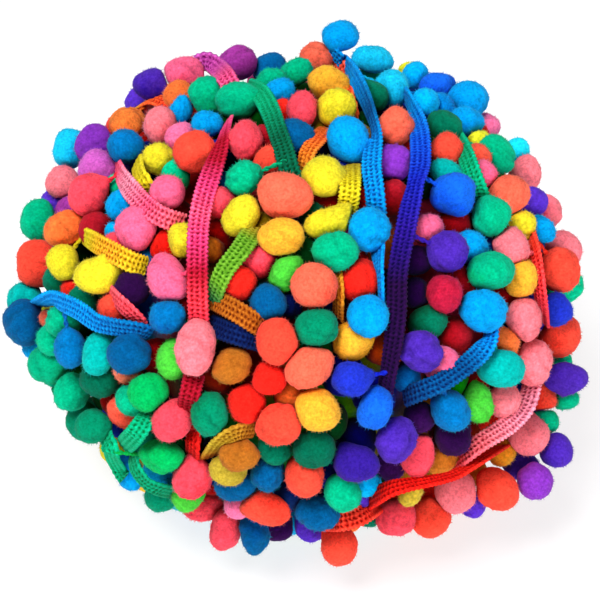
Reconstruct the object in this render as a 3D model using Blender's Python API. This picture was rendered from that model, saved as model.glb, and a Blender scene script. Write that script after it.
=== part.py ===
"""Roll of pompom trim: knitted tape with small yarn pompoms, wound by hand into a ball.

The wound ball is one solid, lumpy with the pompoms of its outer turns. The lengths that lie
loose on top of it are solids of their own: a tape, with its pompoms fused on by short stems.
Metres, +Z up, with the origin on the floor at the middle of the ball's flat spot.
"""

import math
from collections import namedtuple

import bmesh
import bpy
import numpy as np
from mathutils import Matrix, Vector
from mathutils.bvhtree import BVHTree

MM = 0.001

# The wound ball, pompoms included
BALL_HALF_WIDTH = 70.5 * MM
BALL_HALF_DEPTH = 68.0 * MM
BALL_HALF_HEIGHT = 57.0 * MM
BALL_HALF = Vector((BALL_HALF_WIDTH, BALL_HALF_DEPTH, BALL_HALF_HEIGHT))
FLAT_CUT = 0.94  # the floor cuts the ball at this share of its half height
BALL_MIDDLE = Vector((0.0, 0.0, FLAT_CUT * BALL_HALF_HEIGHT))
FLAT_RADIUS = 22.0 * MM
FLAT_CORNERS = 24
FLOOR_CLEARANCE = 0.6 * MM  # what isn't in the flat spot stays this far off the floor

# The trim
POMPOM_RADIUS = 5.25 * MM
TAPE_WIDTH = 5.0 * MM
TAPE_THICKNESS = 1.2 * MM
STEM_RADIUS = 0.75 * MM
STEM_SIDES = 3
POMPOM_PITCH = 11.5 * MM  # from pompom to pompom along the tape
POMPOM_SIDE = 9.0 * MM  # from the tape's middle line out to a pompom's middle
TAPE_DEPTH = 4.5 * MM  # the tape lies this far below the tops of the pompoms
TAPE_STEP = 3.6 * MM  # from section to section of a tape's solid
TAPE_LIFT = 1.8 * MM  # a loose length bows this far up at its middle
TAPE_DIVE = 4.0 * MM  # and each end dives this far in between the pompoms
DIVE_LENGTH = 8.0 * MM
STEM_MOST = 13.0 * MM  # from the tape's middle line to a pompom's middle
GAP = 0.35 * MM  # left between separate pieces
SLIDE_STEP = 0.25 * MM
SETTLE_ROUNDS = 90
SETTLE_SHARE = 0.6  # of each push is taken in a round
SETTLE_SLACK = 0.1 * MM

# The lumps of the wound ball
LUMP_COUNT = 470  # as many pompoms as cover a whole ball
LUMP_SPACING = 11.6 * MM
LUMP_LEAST = 8.4 * MM  # a lump that ends up closer than this to another is left out
SPREAD_ROUNDS = 60
VALLEY_DEPTH = 8.0 * MM  # between lumps the wound body is this far down
LUMP_RING = 0.72  # the ring of points round a lump's top, as a share of its radius
SKIN_DETAIL = 0.02  # the skin's points are at least this far apart, as a share of their height
LUMP_START = 1.7  # lumps start at least this many radii from the loose lengths' pompoms
LUMP_TO_TAPE = 7.0 * MM  # from a lump's middle to a tape's middle line
FLAT_BORDER = 1.6 * MM  # the skin has no other points this close round the flat spot
BED_GAP = 0.45 * MM  # between the loose lengths and the bed they press into the ball
BED_GRID = 6  # the bed is tested at this many steps along each side of the skin's faces
BED_ROUNDS = 90

# The front lengths are set out on a chart: the ball's upper front as it looks from
# CHART_EYE away and CHART_RISE up, in millimetres right and up of the ball's middle.
CHART_RISE = math.radians(40.0)
CHART_EYE = 0.62

# sRGB dyes, from the warm end of the rainbow to the cold one
DYES = {
    "coral": 0xFF4E42,
    "pink": 0xFF6488,
    "yellow": 0xF2DC30,
    "green": 0x00B880,
    "turquoise": 0x00BEC0,
    "azure": 0x009EEC,
    "ultramarine": 0x2A3CD8,
    "violet": 0x5A2CB4,
}

# A tape's points are (right, up, roll); roll turns its face, in degrees, from facing outwards.
FrontLength = namedtuple("FrontLength", "name dye tape pompoms")
FRONT_LENGTHS = (
    FrontLength(
        "crown_azure", "azure",
        tape=((5.5, 61.5, 30), (9, 58.8, 35), (12.8, 55.5, 45), (15.8, 50.5, 60), (18.2, 43, 75),
              (17.9, 34, 20), (18.5, 24, 0), (18.8, 18.5, 10)),
        pompoms=((11.5, 65.2), (20.7, 58.5), (23.6, 50.5), (10.6, 37.5)),
    ),
    FrontLength(
        "mid_azure", "azure",
        tape=((19, 11, 50), (19.7, 6, 75), (20.2, 0, 80), (19.8, -5, 70)),
        pompoms=((15.8, 15), (14.6, -6)),
    ),
    FrontLength(
        "front_ultramarine", "ultramarine",
        tape=((27, 48.5, 20), (29.5, 43.5, 25), (30.3, 38, 0), (30, 32, 0), (28.5, 26.5, 0),
              (26.3, 20, 0), (25.2, 12.5, 5), (24.8, 4, 10), (24.4, -4, 0), (23, -12, 0),
              (21.5, -20, 10), (20.2, -26, 20)),
        pompoms=((39, 48), (37.3, 24), (36, 10.5), (31, -15), (11.8, -22.5), (18, -32.5)),
    ),
    FrontLength(
        "upper_green", "green",
        tape=((-9.5, 49.5, 0), (-6.8, 46.5, 0), (-5.5, 41.5, 10), (-4.2, 36, 0), (-2.8, 31, 0),
              (-1, 26, 0)),
        pompoms=((-15.6, 48), (-14.3, 28.2)),
    ),
    FrontLength(
        "front_pink", "pink",
        tape=((-18.7, 44, 20), (-19, 39, 50), (-21.3, 34.5, 20), (-23.3, 29, 0), (-24.6, 23, 0),
              (-25.6, 15, 0), (-25.9, 8, 0), (-26, 1, 5), (-25.5, -5, 15), (-25.2, -9.5, 20)),
        pompoms=((-12.4, 38.5), (-34.3, 3.8), (-27.3, -15.2)),
    ),
    FrontLength(
        "mid_lime", "green",
        tape=((-10.5, 17, 0), (-14.5, 13.5, 10), (-18, 9, 20), (-20, 3.5, 30)),
        pompoms=((-16.8, 20.3),),
    ),
    FrontLength(
        "mid_yellow", "yellow",
        tape=((12.2, 31.5, 0), (12.2, 26.5, 0), (11, 22, 20), (6.5, 19.5, 30)),
        pompoms=((4, 29.5), (1.8, 14)),
    ),
    FrontLength(
        "left_pink", "pink",
        tape=((-46, 31, 30), (-43, 27, 10), (-40, 22.8, 0), (-36.5, 20, 10), (-31, 18, 0)),
        pompoms=((-33, 26.8), (-42, 14.5), (-53, 24.5)),
    ),
    FrontLength(
        "left_yellow", "yellow",
        tape=((-56, 14, 40), (-51, 12, 20), (-46, 9.5, 10), (-42.3, 7.3, 0)),
        pompoms=((-50.8, 3), (-61, 6.8)),
    ),
    FrontLength(
        "left_azure", "azure",
        tape=((-66, -2.5, 20), (-61, -1.5, 20), (-57.5, -4, 10), (-53.5, -7, 0), (-48, -8, 20),
              (-42, -8.3, 25), (-38, -9.8, 30)),
        pompoms=((-69.5, -8.5), (-58.5, -14.5), (-42.8, -16), (-32.5, -4.8)),
    ),
    FrontLength(
        "lower_azure", "azure",
        tape=((49, -9.5, 10), (47, -13.5, 0), (43.5, -17.5, 0), (39, -21.3, 10), (33.5, -24, 10),
              (27, -27.3, 0)),
        pompoms=((45.5, -4), (51.5, -20), (36.5, -32)),
    ),
    FrontLength(
        "lower_pink", "pink",
        tape=((58.5, -24, 30), (56.5, -29, 10), (52, -34.5, 0), (47.5, -38.5, 0), (43, -41.7, 20),
              (38.5, -44.3, 30)),
        pompoms=((58.2, -37.7), (38, -51)),
    ),
    FrontLength(
        "right_green", "green",
        tape=((39, 39, 30), (41, 34, 20), (43.2, 28, 10), (45.4, 22.5, 0)),
        pompoms=((49.5, 35), (47.5, 15.5)),
    ),
    FrontLength(
        "right_coral", "coral",
        tape=((57.5, 16, 30), (59.3, 8, 30), (60.3, 0, 40), (60.3, -8, 40)),
        pompoms=((65.5, 5.5), (66, -12), (51, 11.5)),
    ),
    FrontLength(
        "low_green", "green",
        tape=((-47.5, -36, 30), (-46.8, -40.5, 20), (-45.5, -45.5, 20)),
        pompoms=((-51, -33.8), (-38.5, -37.5)),
    ),
    FrontLength(
        "low_coral", "coral",
        tape=((18.5, -55, 0), (13.5, -56.8, 0), (8, -56.5, 0), (2, -55, 0)),
        pompoms=((9.7, -63.3), (23, -56.5)),
    ),
)

# The other sides' lengths run on arcs: where the arc starts, as azimuth (0 is the right side,
# 90 the back) and height angle, its heading (0 runs round the ball, 90 runs up) and its length.
ArcLength = namedtuple("ArcLength", "name dye azimuth height heading arc bend")
ARC_LENGTHS = (
    ArcLength("back_azure", "azure", 50, -14, 66, 44 * MM, -14),
    ArcLength("back_pink", "pink", 78, 21, -8, 44 * MM, 16),
    ArcLength("back_green", "green", 132, 6, 74, 38 * MM, 16),
    ArcLength("back_yellow", "yellow", 80, -12, 14, 42 * MM, 14),
    ArcLength("back_ultramarine", "ultramarine", 62, -37, 10, 54 * MM, -14),
    ArcLength("rear_violet", "violet", 150, -26, 70, 50 * MM, 18),
    ArcLength("left_turquoise", "turquoise", 176, -34, 44, 42 * MM, -18),
    ArcLength("rear_coral", "coral", 16, -32, 56, 48 * MM, 18),
)

PARTS = "pompom_trim_ball"
ADDED = "pompoms_to_fuse"


def dye_colour(name):
    """An sRGB dye as the linear colour that a shader takes."""
    code = DYES[name]
    shares = [(code >> shift & 255) / 255 for shift in (16, 8, 0)]
    return [s / 12.92 if s <= 0.04045 else ((s + 0.055) / 1.055) ** 2.4 for s in shares] + [1.0]


def yarn_material(name, dye, roughness):
    material = bpy.data.materials.new(name)
    material.use_nodes = True
    shader = material.node_tree.nodes["Principled BSDF"]
    shader.inputs["Base Color"].default_value = dye_colour(dye)
    shader.inputs["Roughness"].default_value = roughness
    shader.inputs["Metallic"].default_value = 0.0
    return material


def squeeze(vector, depth):
    """Space squeezed so that the form `depth` below the ball's outside has radius 1."""
    return Vector([value / (half - depth) for value, half in zip(vector, BALL_HALF)])


def outward(point):
    """The ball's outward direction at a point."""
    slope = [value / half ** 2 for value, half in zip(point - BALL_MIDDLE, BALL_HALF)]
    return Vector(slope).normalized()


def on_form(direction, depth):
    """The point `depth` below the ball's outside in a direction from its middle."""
    return BALL_MIDDLE + direction / squeeze(direction, depth).length


def chart_spot(place, depth):
    """The point at a place of the chart, `depth` below the ball's outside, and its line of sight.

    Past the ball's outline it is the nearest point of that line.
    """
    right, up = place
    eye = Vector((0, -math.cos(CHART_RISE), math.sin(CHART_RISE))) * CHART_EYE
    aim = Vector((right, up * math.sin(CHART_RISE), up * math.cos(CHART_RISE))) * MM
    sight = (aim - eye).normalized()
    start, run = squeeze(eye, depth), squeeze(sight, depth)
    nearest = -start.dot(run) / run.dot(run)
    miss = (start + run * nearest).length_squared
    reach = nearest - math.sqrt(max(0.0, 1.0 - miss) / run.dot(run))
    return BALL_MIDDLE + eye + sight * reach, sight


def sphere_direction(azimuth, height):
    azimuth, height = math.radians(azimuth), math.radians(height)
    flat = Vector((math.cos(azimuth), math.sin(azimuth), 0.0))
    return flat * math.cos(height) + Vector((0.0, 0.0, math.sin(height)))


def smooth_route(knots, step):
    """Points about `step` apart on a smooth curve (Catmull-Rom) through the knots, rolls included."""
    ends = [knots[0] * 2 - knots[1]] + list(knots) + [knots[-1] * 2 - knots[-2]]
    route = []
    for before, start, end, after in zip(ends, ends[1:], ends[2:], ends[3:]):
        pieces = max(2, round((end - start).xyz.length / step))
        for piece in range(pieces):
            t = piece / pieces
            route.append(
                (start * 2 + (end - before) * t + (before * 2 - start * 5 + end * 4 - after) * t ** 2
                 + (start * 3 - before - end * 3 + after) * t ** 3) * 0.5
            )
    return route + [knots[-1]]


def chart_route(tape):
    """The route of a front length: its points on the ball, each with its roll as a fourth value."""
    knots = []
    for right, up, roll in tape:
        spot, _ = chart_spot((right, up), TAPE_DEPTH)
        knots.append(Vector((*spot, math.radians(roll))))
    return smooth_route(knots, TAPE_STEP)


def arc_route(row):
    """The route of an arc length: a great circle that bends steadily sideways."""
    direction = sphere_direction(row.azimuth, row.height)
    east = Vector((0, 0, 1)).cross(direction).normalized()
    north = direction.cross(east)
    heading = math.radians(row.heading)
    ahead = east * math.cos(heading) + north * math.sin(heading)
    steps = round(row.arc / TAPE_STEP)
    turn = math.radians(row.bend) / steps
    route = [Vector((*on_form(direction, TAPE_DEPTH), 0.0))]
    for _ in range(steps):
        reach = (route[-1].xyz - BALL_MIDDLE).length
        turned = Matrix.Rotation(TAPE_STEP / reach, 3, direction.cross(ahead))
        direction, ahead = turned @ direction, turned @ ahead
        ahead = Matrix.Rotation(turn, 3, direction) @ ahead
        route.append(Vector((*on_form(direction, TAPE_DEPTH), 0.0)))
    return route


def lay_tape(route):
    """The tape's sections: each has its middle, its direction across and its face's direction.

    A loose length bows up a little along its middle and dives in at both ends.
    """
    run = [0.0]
    for start, end in zip(route, route[1:]):
        run.append(run[-1] + (end.xyz - start.xyz).length)
    points = []
    for along, point in zip(run, route):
        to_end = min(along, run[-1] - along)
        dive = TAPE_DIVE * max(0.0, 1 - to_end / DIVE_LENGTH) ** 2
        bow = TAPE_LIFT * math.sin(math.pi * along / run[-1])
        points.append(point.xyz + outward(point.xyz) * (bow - dive))
    last = len(points) - 1
    sections = []
    for number, point in enumerate(points):
        ahead = (points[min(number + 1, last)] - points[max(number - 1, 0)]).normalized()
        across = Matrix.Rotation(route[number].w, 3, ahead) @ ahead.cross(outward(point)).normalized()
        sections.append((point, across, across.cross(ahead)))
    return sections


def nearest_section(point, sections):
    return min(sections, key=lambda section: (section[0] - point).length_squared)


def off_tape(point, sections):
    """The way from a tape's surface to a point outside it."""
    middle, across, face = nearest_section(point, sections)
    ahead = across.cross(face)
    way = Vector()
    for axis, half in ((across, TAPE_WIDTH / 2), (face, TAPE_THICKNESS / 2), (ahead, TAPE_STEP / 2)):
        reach = (point - middle).dot(axis)
        way += axis * math.copysign(max(0.0, abs(reach) - half), reach)
    return way


def shove(middle, others, tapes):
    """The push that takes a pompom off its neighbours, which share it, and off the tapes."""
    push = Vector()
    for other in others:
        apart = middle - other
        short = 2 * POMPOM_RADIUS + GAP - apart.length
        if 0 < short < 2 * POMPOM_RADIUS:
            push += apart.normalized() * short / 2
    for sections in tapes:
        way = off_tape(middle, sections)
        push += way.normalized() * max(0.0, POMPOM_RADIUS + GAP - way.length)
    return push


def settle(starts, tapes):
    """Pushes pompoms off each other and off the tapes, no higher than they start.

    One that still has no room at the end is left out, as None.
    """
    levels = [squeeze(start - BALL_MIDDLE, POMPOM_RADIUS).length for start in starts]
    middles = list(starts)
    reach = POMPOM_RADIUS * 3
    near = [[tape for tape in tapes if off_tape(start, tape).length < reach] for start in starts]
    for _ in range(SETTLE_ROUNDS):
        for number, middle in enumerate(middles):
            middle = middle + shove(middle, middles, near[number]) * SETTLE_SHARE
            level = squeeze(middle - BALL_MIDDLE, POMPOM_RADIUS).length
            if level > levels[number]:
                middle = BALL_MIDDLE + (middle - BALL_MIDDLE) * (levels[number] / level)
            middle.z = max(middle.z, POMPOM_RADIUS + FLOOR_CLEARANCE)
            middles[number] = middle
    for number, middle in enumerate(middles):
        kept = [other for other in middles[:number] if other is not None]
        if shove(middle, kept, near[number]).length > SETTLE_SLACK:
            middles[number] = None
    return middles


def draw_to_tape(middle, sight, sections):
    """Slides a pompom along the line of sight, towards the eye, until its stem can reach the tape."""
    while (middle - nearest_section(middle, sections)[0]).length > STEM_MOST:
        nearer = middle - sight * SLIDE_STEP
        root = nearest_section(nearer, sections)[0]
        if (nearer - root).length >= (middle - root).length:
            break
        middle = nearer
    return middle


def arc_pompoms(sections):
    """Where an arc length's pompoms start from: at an even pitch, on alternate sides."""
    length = sum((b[0] - a[0]).length for a, b in zip(sections, sections[1:]))
    count = int(length / (POMPOM_PITCH * 0.75))
    starts = []
    for number in range(count):
        middle, across, _ = sections[round((number + 0.5) / count * (len(sections) - 1))]
        side = 1 if number % 2 else -1
        beside = (middle + across * side * POMPOM_SIDE - BALL_MIDDLE).normalized()
        starts.append(on_form(beside, POMPOM_RADIUS))
    return starts


def lay_lengths():
    """Every loose length as its name, dye, tape sections and pompom middles."""
    laid = []
    for row in FRONT_LENGTHS:
        laid.append((row.name, row.dye, lay_tape(chart_route(row.tape)), row.pompoms))
    for row in ARC_LENGTHS:
        laid.append((row.name, row.dye, lay_tape(arc_route(row)), None))
    tapes = [sections for _, _, sections, _ in laid]
    starts = []
    owners = []
    for owner, (_, _, sections, places) in enumerate(laid):
        if places is None:
            spots = arc_pompoms(sections)
        else:
            spots = [draw_to_tape(*chart_spot(place, POMPOM_RADIUS), sections) for place in places]
        starts += spots
        owners += [owner] * len(spots)
    own = [[] for _ in laid]
    for owner, middle in zip(owners, settle(starts, tapes)):
        if middle is not None:
            own[owner].append(middle)
    return [(name, dye, sections, own[owner]) for owner, (name, dye, sections, _) in enumerate(laid)]


def spread_lumps(pompoms, tapes):
    """Middles of the wound ball's own pompoms, spread evenly over what the loose lengths leave."""
    golden = math.pi * (3 - math.sqrt(5))
    strip = [section[0] for sections in tapes for section in sections]
    lumps = []
    for number in range(LUMP_COUNT):
        rise = 1 - 2 * (number + 0.5) / LUMP_COUNT
        girth = math.sqrt(1 - rise ** 2)
        direction = Vector((girth * math.cos(golden * number), girth * math.sin(golden * number), rise))
        lump = on_form(direction, POMPOM_RADIUS)
        near_pompom = any((lump - other).length < LUMP_START * POMPOM_RADIUS for other in pompoms)
        if not near_pompom and all((lump - point).length > LUMP_TO_TAPE for point in strip):
            lumps.append(lump)
    places = np.array(lumps)
    fixed = np.array(pompoms + strip)
    room = np.array([LUMP_SPACING] * len(pompoms) + [LUMP_TO_TAPE] * len(strip))
    for _ in range(SPREAD_ROUNDS):
        push = crowding(places, places, LUMP_SPACING) / 2 + crowding(places, fixed, room)
        places = places + push
        places = np.array([on_form(Vector(place) - BALL_MIDDLE, POMPOM_RADIUS) for place in places])
    kept = []
    for place in places:
        lump = Vector(place)
        if all((lump - other).length > LUMP_LEAST for other in kept + pompoms):
            kept.append(lump)
    return kept


def crowding(places, others, room):
    """How far each place has to move so that it has its room from the others."""
    apart = places[:, None, :] - others[None, :, :]
    distance = np.linalg.norm(apart, axis=2)
    itself = distance < MM * MM
    shortfall = np.where(itself, 0.0, np.maximum(0.0, room - distance))
    return (apart * (shortfall / np.where(itself, 1.0, distance))[:, :, None]).sum(axis=1)


def flat_corner_directions():
    corners = []
    for number in range(FLAT_CORNERS):
        turn = math.tau * number / FLAT_CORNERS
        rim = Vector((math.cos(turn), math.sin(turn), 0.0)) * FLAT_RADIUS
        corners.append(rim - Vector((0.0, 0.0, BALL_MIDDLE.z)))
    return corners


def over_flat(direction):
    """Whether a direction from the ball's middle meets the floor in or close to the flat spot."""
    if direction.z >= 0:
        return False
    foot = direction * (BALL_MIDDLE.z / -direction.z)
    return math.hypot(foot.x, foot.y) < FLAT_RADIUS + FLAT_BORDER


def surface_directions(lumps, sites):
    """Unit directions from the ball's middle to the points of its skin, apart from the flat spot.

    The sites are all that lies side by side on the ball. The skin has a point at each, one between
    each two neighbours and one between each three, and each lump has a ring round its top.
    """
    bm = bmesh.new()
    for site in sites:
        bm.verts.new((site - BALL_MIDDLE).normalized())
    bmesh.ops.convex_hull(bm, input=bm.verts)
    bm.verts.ensure_lookup_table()
    directions = [vert.co.copy() for vert in bm.verts]
    for vert, lump in zip(bm.verts, lumps):
        arm = lump - BALL_MIDDLE
        for edge in vert.link_edges:
            side = edge.other_vert(vert).co - vert.co
            side -= arm * side.dot(arm) / arm.length_squared
            directions.append((arm + side.normalized() * POMPOM_RADIUS * LUMP_RING).normalized())
    directions += [(edge.verts[0].co + edge.verts[1].co).normalized() for edge in bm.edges]
    directions += [face.normal.copy() for face in bm.faces]
    bm.free()
    kept = []
    for direction in directions:
        if not over_flat(direction) and all((direction - other).length > SKIN_DETAIL for other in kept):
            kept.append(direction)
    return kept


def skin_height(direction, tops):
    """How far the ball's skin is from its middle: the highest of its lumps and its wound body."""
    height = 1 / squeeze(direction, VALLEY_DEPTH).length
    along = tops @ np.array(direction)
    inside = POMPOM_RADIUS ** 2 - (tops ** 2).sum(axis=1) + along ** 2
    hits = inside > 0
    if hits.any():
        height = max(height, (along[hits] + np.sqrt(inside[hits])).max())
    if direction.z < 0:
        height = min(height, (BALL_MIDDLE.z - FLOOR_CLEARANCE) / -direction.z)
    return height


def bed_forms(lengths):
    """The loose lengths' vertices and faces, all grown by the gap that the ball keeps from them."""
    bm = bmesh.new()
    for _, _, sections, middles in lengths:
        add_tape(bm, sections, BED_GAP)
        add_pompoms(bm, sections, middles, BED_GAP)
    bm.verts.index_update()
    vertices = [vert.co.copy() for vert in bm.verts]
    faces = [[vert.index for vert in face.verts] for face in bm.faces]
    bm.free()
    return vertices, faces


def face_grid(count):
    """The weights of a triangle's three corners at an even grid of places on it."""
    places = []
    for first in range(count + 1):
        for second in range(count + 1 - first):
            places.append(Vector((first, second, count - first - second)) / count)
    return places


def press_bed(directions, heights, faces, lengths):
    """Lowers the skin under the loose lengths, moving each face's corners no more than it takes.

    Along one direction, 1 / height of a face is a weighted sum of its corners' 1 / height.
    """
    vertices, length_faces = bed_forms(lengths)
    above = BVHTree.FromPolygons(vertices, length_faces)
    skin = BVHTree.FromPolygons(directions, faces)
    limits = []
    for corners in faces:
        for share in face_grid(BED_GRID):
            arm = sum((directions[corner] * part for corner, part in zip(corners, share)), Vector())
            hit, _, _, distance = above.ray_cast(BALL_MIDDLE, arm.normalized())
            if hit is not None:
                limits.append((corners, share / arm.length, 1 / distance))
    for vertex in vertices:
        arm = vertex - BALL_MIDDLE
        corners = faces[skin.ray_cast(Vector(), arm.normalized())[2]]
        turn = Matrix([directions[corner] for corner in corners]).transposed()
        limits.append((corners, turn.inverted() @ arm.normalized(), 1 / arm.length))
    inverse = [1 / height for height in heights]
    for _ in range(BED_ROUNDS):
        for corners, weights, least in limits:
            short = least - sum(weight * inverse[corner] for corner, weight in zip(corners, weights))
            if short > 0:
                for corner, weight in zip(corners, weights):
                    inverse[corner] += short * weight / weights.length_squared
    return [1 / value for value in inverse]


def wound_ball(lengths):
    """The wound ball: a closed skin of lumps, pressed in under the loose lengths."""
    pompoms = [middle for _, _, _, middles in lengths for middle in middles]
    tapes = [sections for _, _, sections, _ in lengths]
    lumps = spread_lumps(pompoms, tapes)
    strip = [section[0] for sections in tapes for section in sections[::2]]
    directions = surface_directions(lumps, lumps + pompoms + strip)
    corners = flat_corner_directions()
    tops = np.array([lump - BALL_MIDDLE for lump in lumps])
    heights = [skin_height(direction, tops) for direction in directions]
    heights += [corner.length for corner in corners]
    directions += [corner.normalized() for corner in corners]

    bm = bmesh.new()
    for direction in directions:
        bm.verts.new(direction)
    bmesh.ops.convex_hull(bm, input=bm.verts)
    bm.verts.index_update()
    faces = [[vert.index for vert in face.verts] for face in bm.faces]
    heights = press_bed(directions, heights, faces, lengths)
    for vert, direction, height in zip(bm.verts, directions, heights):
        vert.co = BALL_MIDDLE + direction * height
    bmesh.ops.recalc_face_normals(bm, faces=bm.faces)
    return add_object("wound_ball", bm, PARTS)


def add_tape(bm, sections, grow=0.0):
    """The tape's solid: its flat section lofted along its route, grown on all sides."""
    rings = []
    grown_ends = {0: -grow, len(sections) - 1: grow}
    for number, (middle, across, face) in enumerate(sections):
        middle = middle + face.cross(across) * grown_ends.get(number, 0.0)
        side, top = across * (TAPE_WIDTH / 2 + grow), face * (TAPE_THICKNESS / 2 + grow)
        corners = (-side - top, side - top, side + top, top - side)
        rings.append([bm.verts.new(middle + corner) for corner in corners])
    walls = [bm.faces.new(rings[0]), bm.faces.new(rings[-1])]
    for start, end in zip(rings, rings[1:]):
        for corner in range(4):
            following = (corner + 1) % 4
            walls.append(bm.faces.new((start[corner], start[following], end[following], end[corner])))
    bmesh.ops.recalc_face_normals(bm, faces=walls)


def add_pompoms(bm, sections, middles, grow=0.0):
    """A length's pompoms, each with the stem that roots it in the tape."""
    for middle in middles:
        root = nearest_section(middle, sections)[0]
        stem = middle - root
        aim = stem.to_track_quat("Z", "Y").to_matrix().to_4x4()
        bmesh.ops.create_icosphere(
            bm, subdivisions=1, radius=POMPOM_RADIUS + grow, matrix=Matrix.Translation(middle) @ aim
        )
        bmesh.ops.create_cone(
            bm, cap_ends=True, segments=STEM_SIDES, radius1=STEM_RADIUS + grow,
            radius2=STEM_RADIUS + grow, depth=stem.length,
            matrix=Matrix.Translation(root.lerp(middle, 0.5)) @ aim,
        )


def loose_length(name, dye, sections, middles):
    """A loose length of trim: its tape with the pompoms fused on."""
    tape = bmesh.new()
    add_tape(tape, sections)
    length = add_object("length_" + name, tape, PARTS)
    pompoms = bmesh.new()
    add_pompoms(pompoms, sections, middles)
    added = add_object("pompoms_" + name, pompoms, ADDED)
    added.hide_render = True
    added.display_type = "WIRE"
    fuse = length.modifiers.new("fuse_pompoms", "BOOLEAN")
    fuse.operation = "UNION"
    fuse.solver = "EXACT"
    fuse.use_self = True
    fuse.object = added
    length.data.materials.append(yarn_material("yarn_" + name, dye, 0.95))
    return length


def add_object(name, bm, collection):
    mesh = bpy.data.meshes.new(name)
    bm.to_mesh(mesh)
    bm.free()
    thing = bpy.data.objects.new(name, mesh)
    bpy.data.collections[collection].objects.link(thing)
    return thing


def clear_scene():
    for thing in list(bpy.data.objects):
        bpy.data.objects.remove(thing, do_unlink=True)
    for name in (PARTS, ADDED):
        bpy.context.scene.collection.children.link(bpy.data.collections.new(name))


def main():
    clear_scene()
    lengths = lay_lengths()
    for name, dye, sections, middles in lengths:
        loose_length(name, dye, sections, middles)
    ball = wound_ball(lengths)
    ball.data.materials.append(yarn_material("yarn_wound_ball", "coral", 0.95))


main()
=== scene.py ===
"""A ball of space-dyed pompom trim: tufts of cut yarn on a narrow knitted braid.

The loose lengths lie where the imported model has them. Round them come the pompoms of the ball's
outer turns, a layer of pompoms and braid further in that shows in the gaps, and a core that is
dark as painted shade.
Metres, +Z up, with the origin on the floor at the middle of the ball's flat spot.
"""

import math
from collections import namedtuple

import bmesh
import bpy
import numpy as np
from mathutils import Matrix, Vector


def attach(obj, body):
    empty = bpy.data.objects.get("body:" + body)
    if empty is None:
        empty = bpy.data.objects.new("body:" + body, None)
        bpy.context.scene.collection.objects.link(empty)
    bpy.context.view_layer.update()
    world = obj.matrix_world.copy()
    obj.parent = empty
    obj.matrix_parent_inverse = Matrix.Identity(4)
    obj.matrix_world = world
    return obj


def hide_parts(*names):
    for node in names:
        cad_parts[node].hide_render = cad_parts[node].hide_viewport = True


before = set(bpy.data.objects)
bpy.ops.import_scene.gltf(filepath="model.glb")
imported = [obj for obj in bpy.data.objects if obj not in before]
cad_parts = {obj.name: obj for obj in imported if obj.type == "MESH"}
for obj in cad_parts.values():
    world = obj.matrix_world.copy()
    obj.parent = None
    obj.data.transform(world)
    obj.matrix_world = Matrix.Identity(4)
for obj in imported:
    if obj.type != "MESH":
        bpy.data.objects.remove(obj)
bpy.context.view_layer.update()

MM = 0.001

# The wound ball
BALL_HALF = Vector((70.5, 68.0, 57.0)) * MM
FLAT_CUT = 0.94  # the floor cuts the ball at this share of its half height
BALL_MIDDLE = Vector((0.0, 0.0, FLAT_CUT * BALL_HALF.z))

# The trim
POMPOM_RADIUS = 5.25 * MM
TAPE_WIDTH = 5.0 * MM
TAPE_THICKNESS = 1.2 * MM
POMPOM_PITCH = 11.5 * MM  # from pompom to pompom along an edge of the tape
ARC_PITCH = 0.75 * POMPOM_PITCH  # how often one shows along the other sides' lengths
POMPOM_SIDE = 9.0 * MM  # from the tape's middle line out to a pompom's middle
STEM_MOST = 13.0 * MM  # from the tape to a pompom's middle, as far as a stem can reach

# How a loose tape lies
TAPE_DEPTH = 4.5 * MM  # its route runs this far below the ball's outside
TAPE_STEP = 3.6 * MM  # from section to section
TAPE_LIFT = 1.8 * MM  # it bows up this much along its middle
TAPE_DIVE = 4.0 * MM  # its ends dive in this much
DIVE_LENGTH = 8.0 * MM

# The front is set out on a chart: the ball's upper front as it looks from CHART_EYE away and
# CHART_RISE up, in millimetres right and up of the ball's middle.
CHART_RISE = math.radians(40.0)
CHART_EYE = 0.62  # in metres
CHARTED_FACING = -0.02  # what faces the eye more than this is on the chart
USUAL_LENGTHS = (8.4, 9.4)  # what an ordinary pompom measures on the chart, in millimetres
LAYER_BACK = (0.0, 3.0 * MM, 7.0 * MM)  # how far the front's layers lie behind the ball's outside
LAYER_PAINTED_LIGHT = (1.0, 1.04, 1.4)  # painted light: their yarn is made this much lighter, since little light gets in there

# How the pompoms that the tables place settle off each other and off the tapes
SLIDE_STEP = 0.25 * MM  # a length's pompoms first slide to within a stem's reach of its tape
SETTLE_ROUNDS = 120
SETTLE_SHARE = 0.6  # how much of each push a round makes
PRESSED = 0.92  # neighbours press into each other down to this share of their two radii
PRESSED_ON_TAPE = 0.9  # and against a tape down to this share of their own radius
TAPE_LINES = (-0.3, 0.0, 0.3)  # a tape pushes from these lines along it, in shares of its width
SIDE_MOST = 1.0 * MM  # a pompom may move this far from its place on the chart
SIDE_PULL = 0.8  # in each round it keeps this share of how far it has moved sideways
DEPTH_PULL = 0.97  # and this share of how far it has moved in
RISE_MOST = 1.0 * MM
SINK_MOST = 13.0 * MM
TOUCHING = 0.001 * MM  # places closer than this are one place
LEAST_APART = 5.2 * MM  # one whose middle ends up closer than this to another's is left out
FLATTEST = 0.8  # the lowest pompoms' middles stand this many of their radii above the floor
NEAR_ENOUGH = 1.08  # up to this many of their two radii apart, neighbours may press on each other

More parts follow.
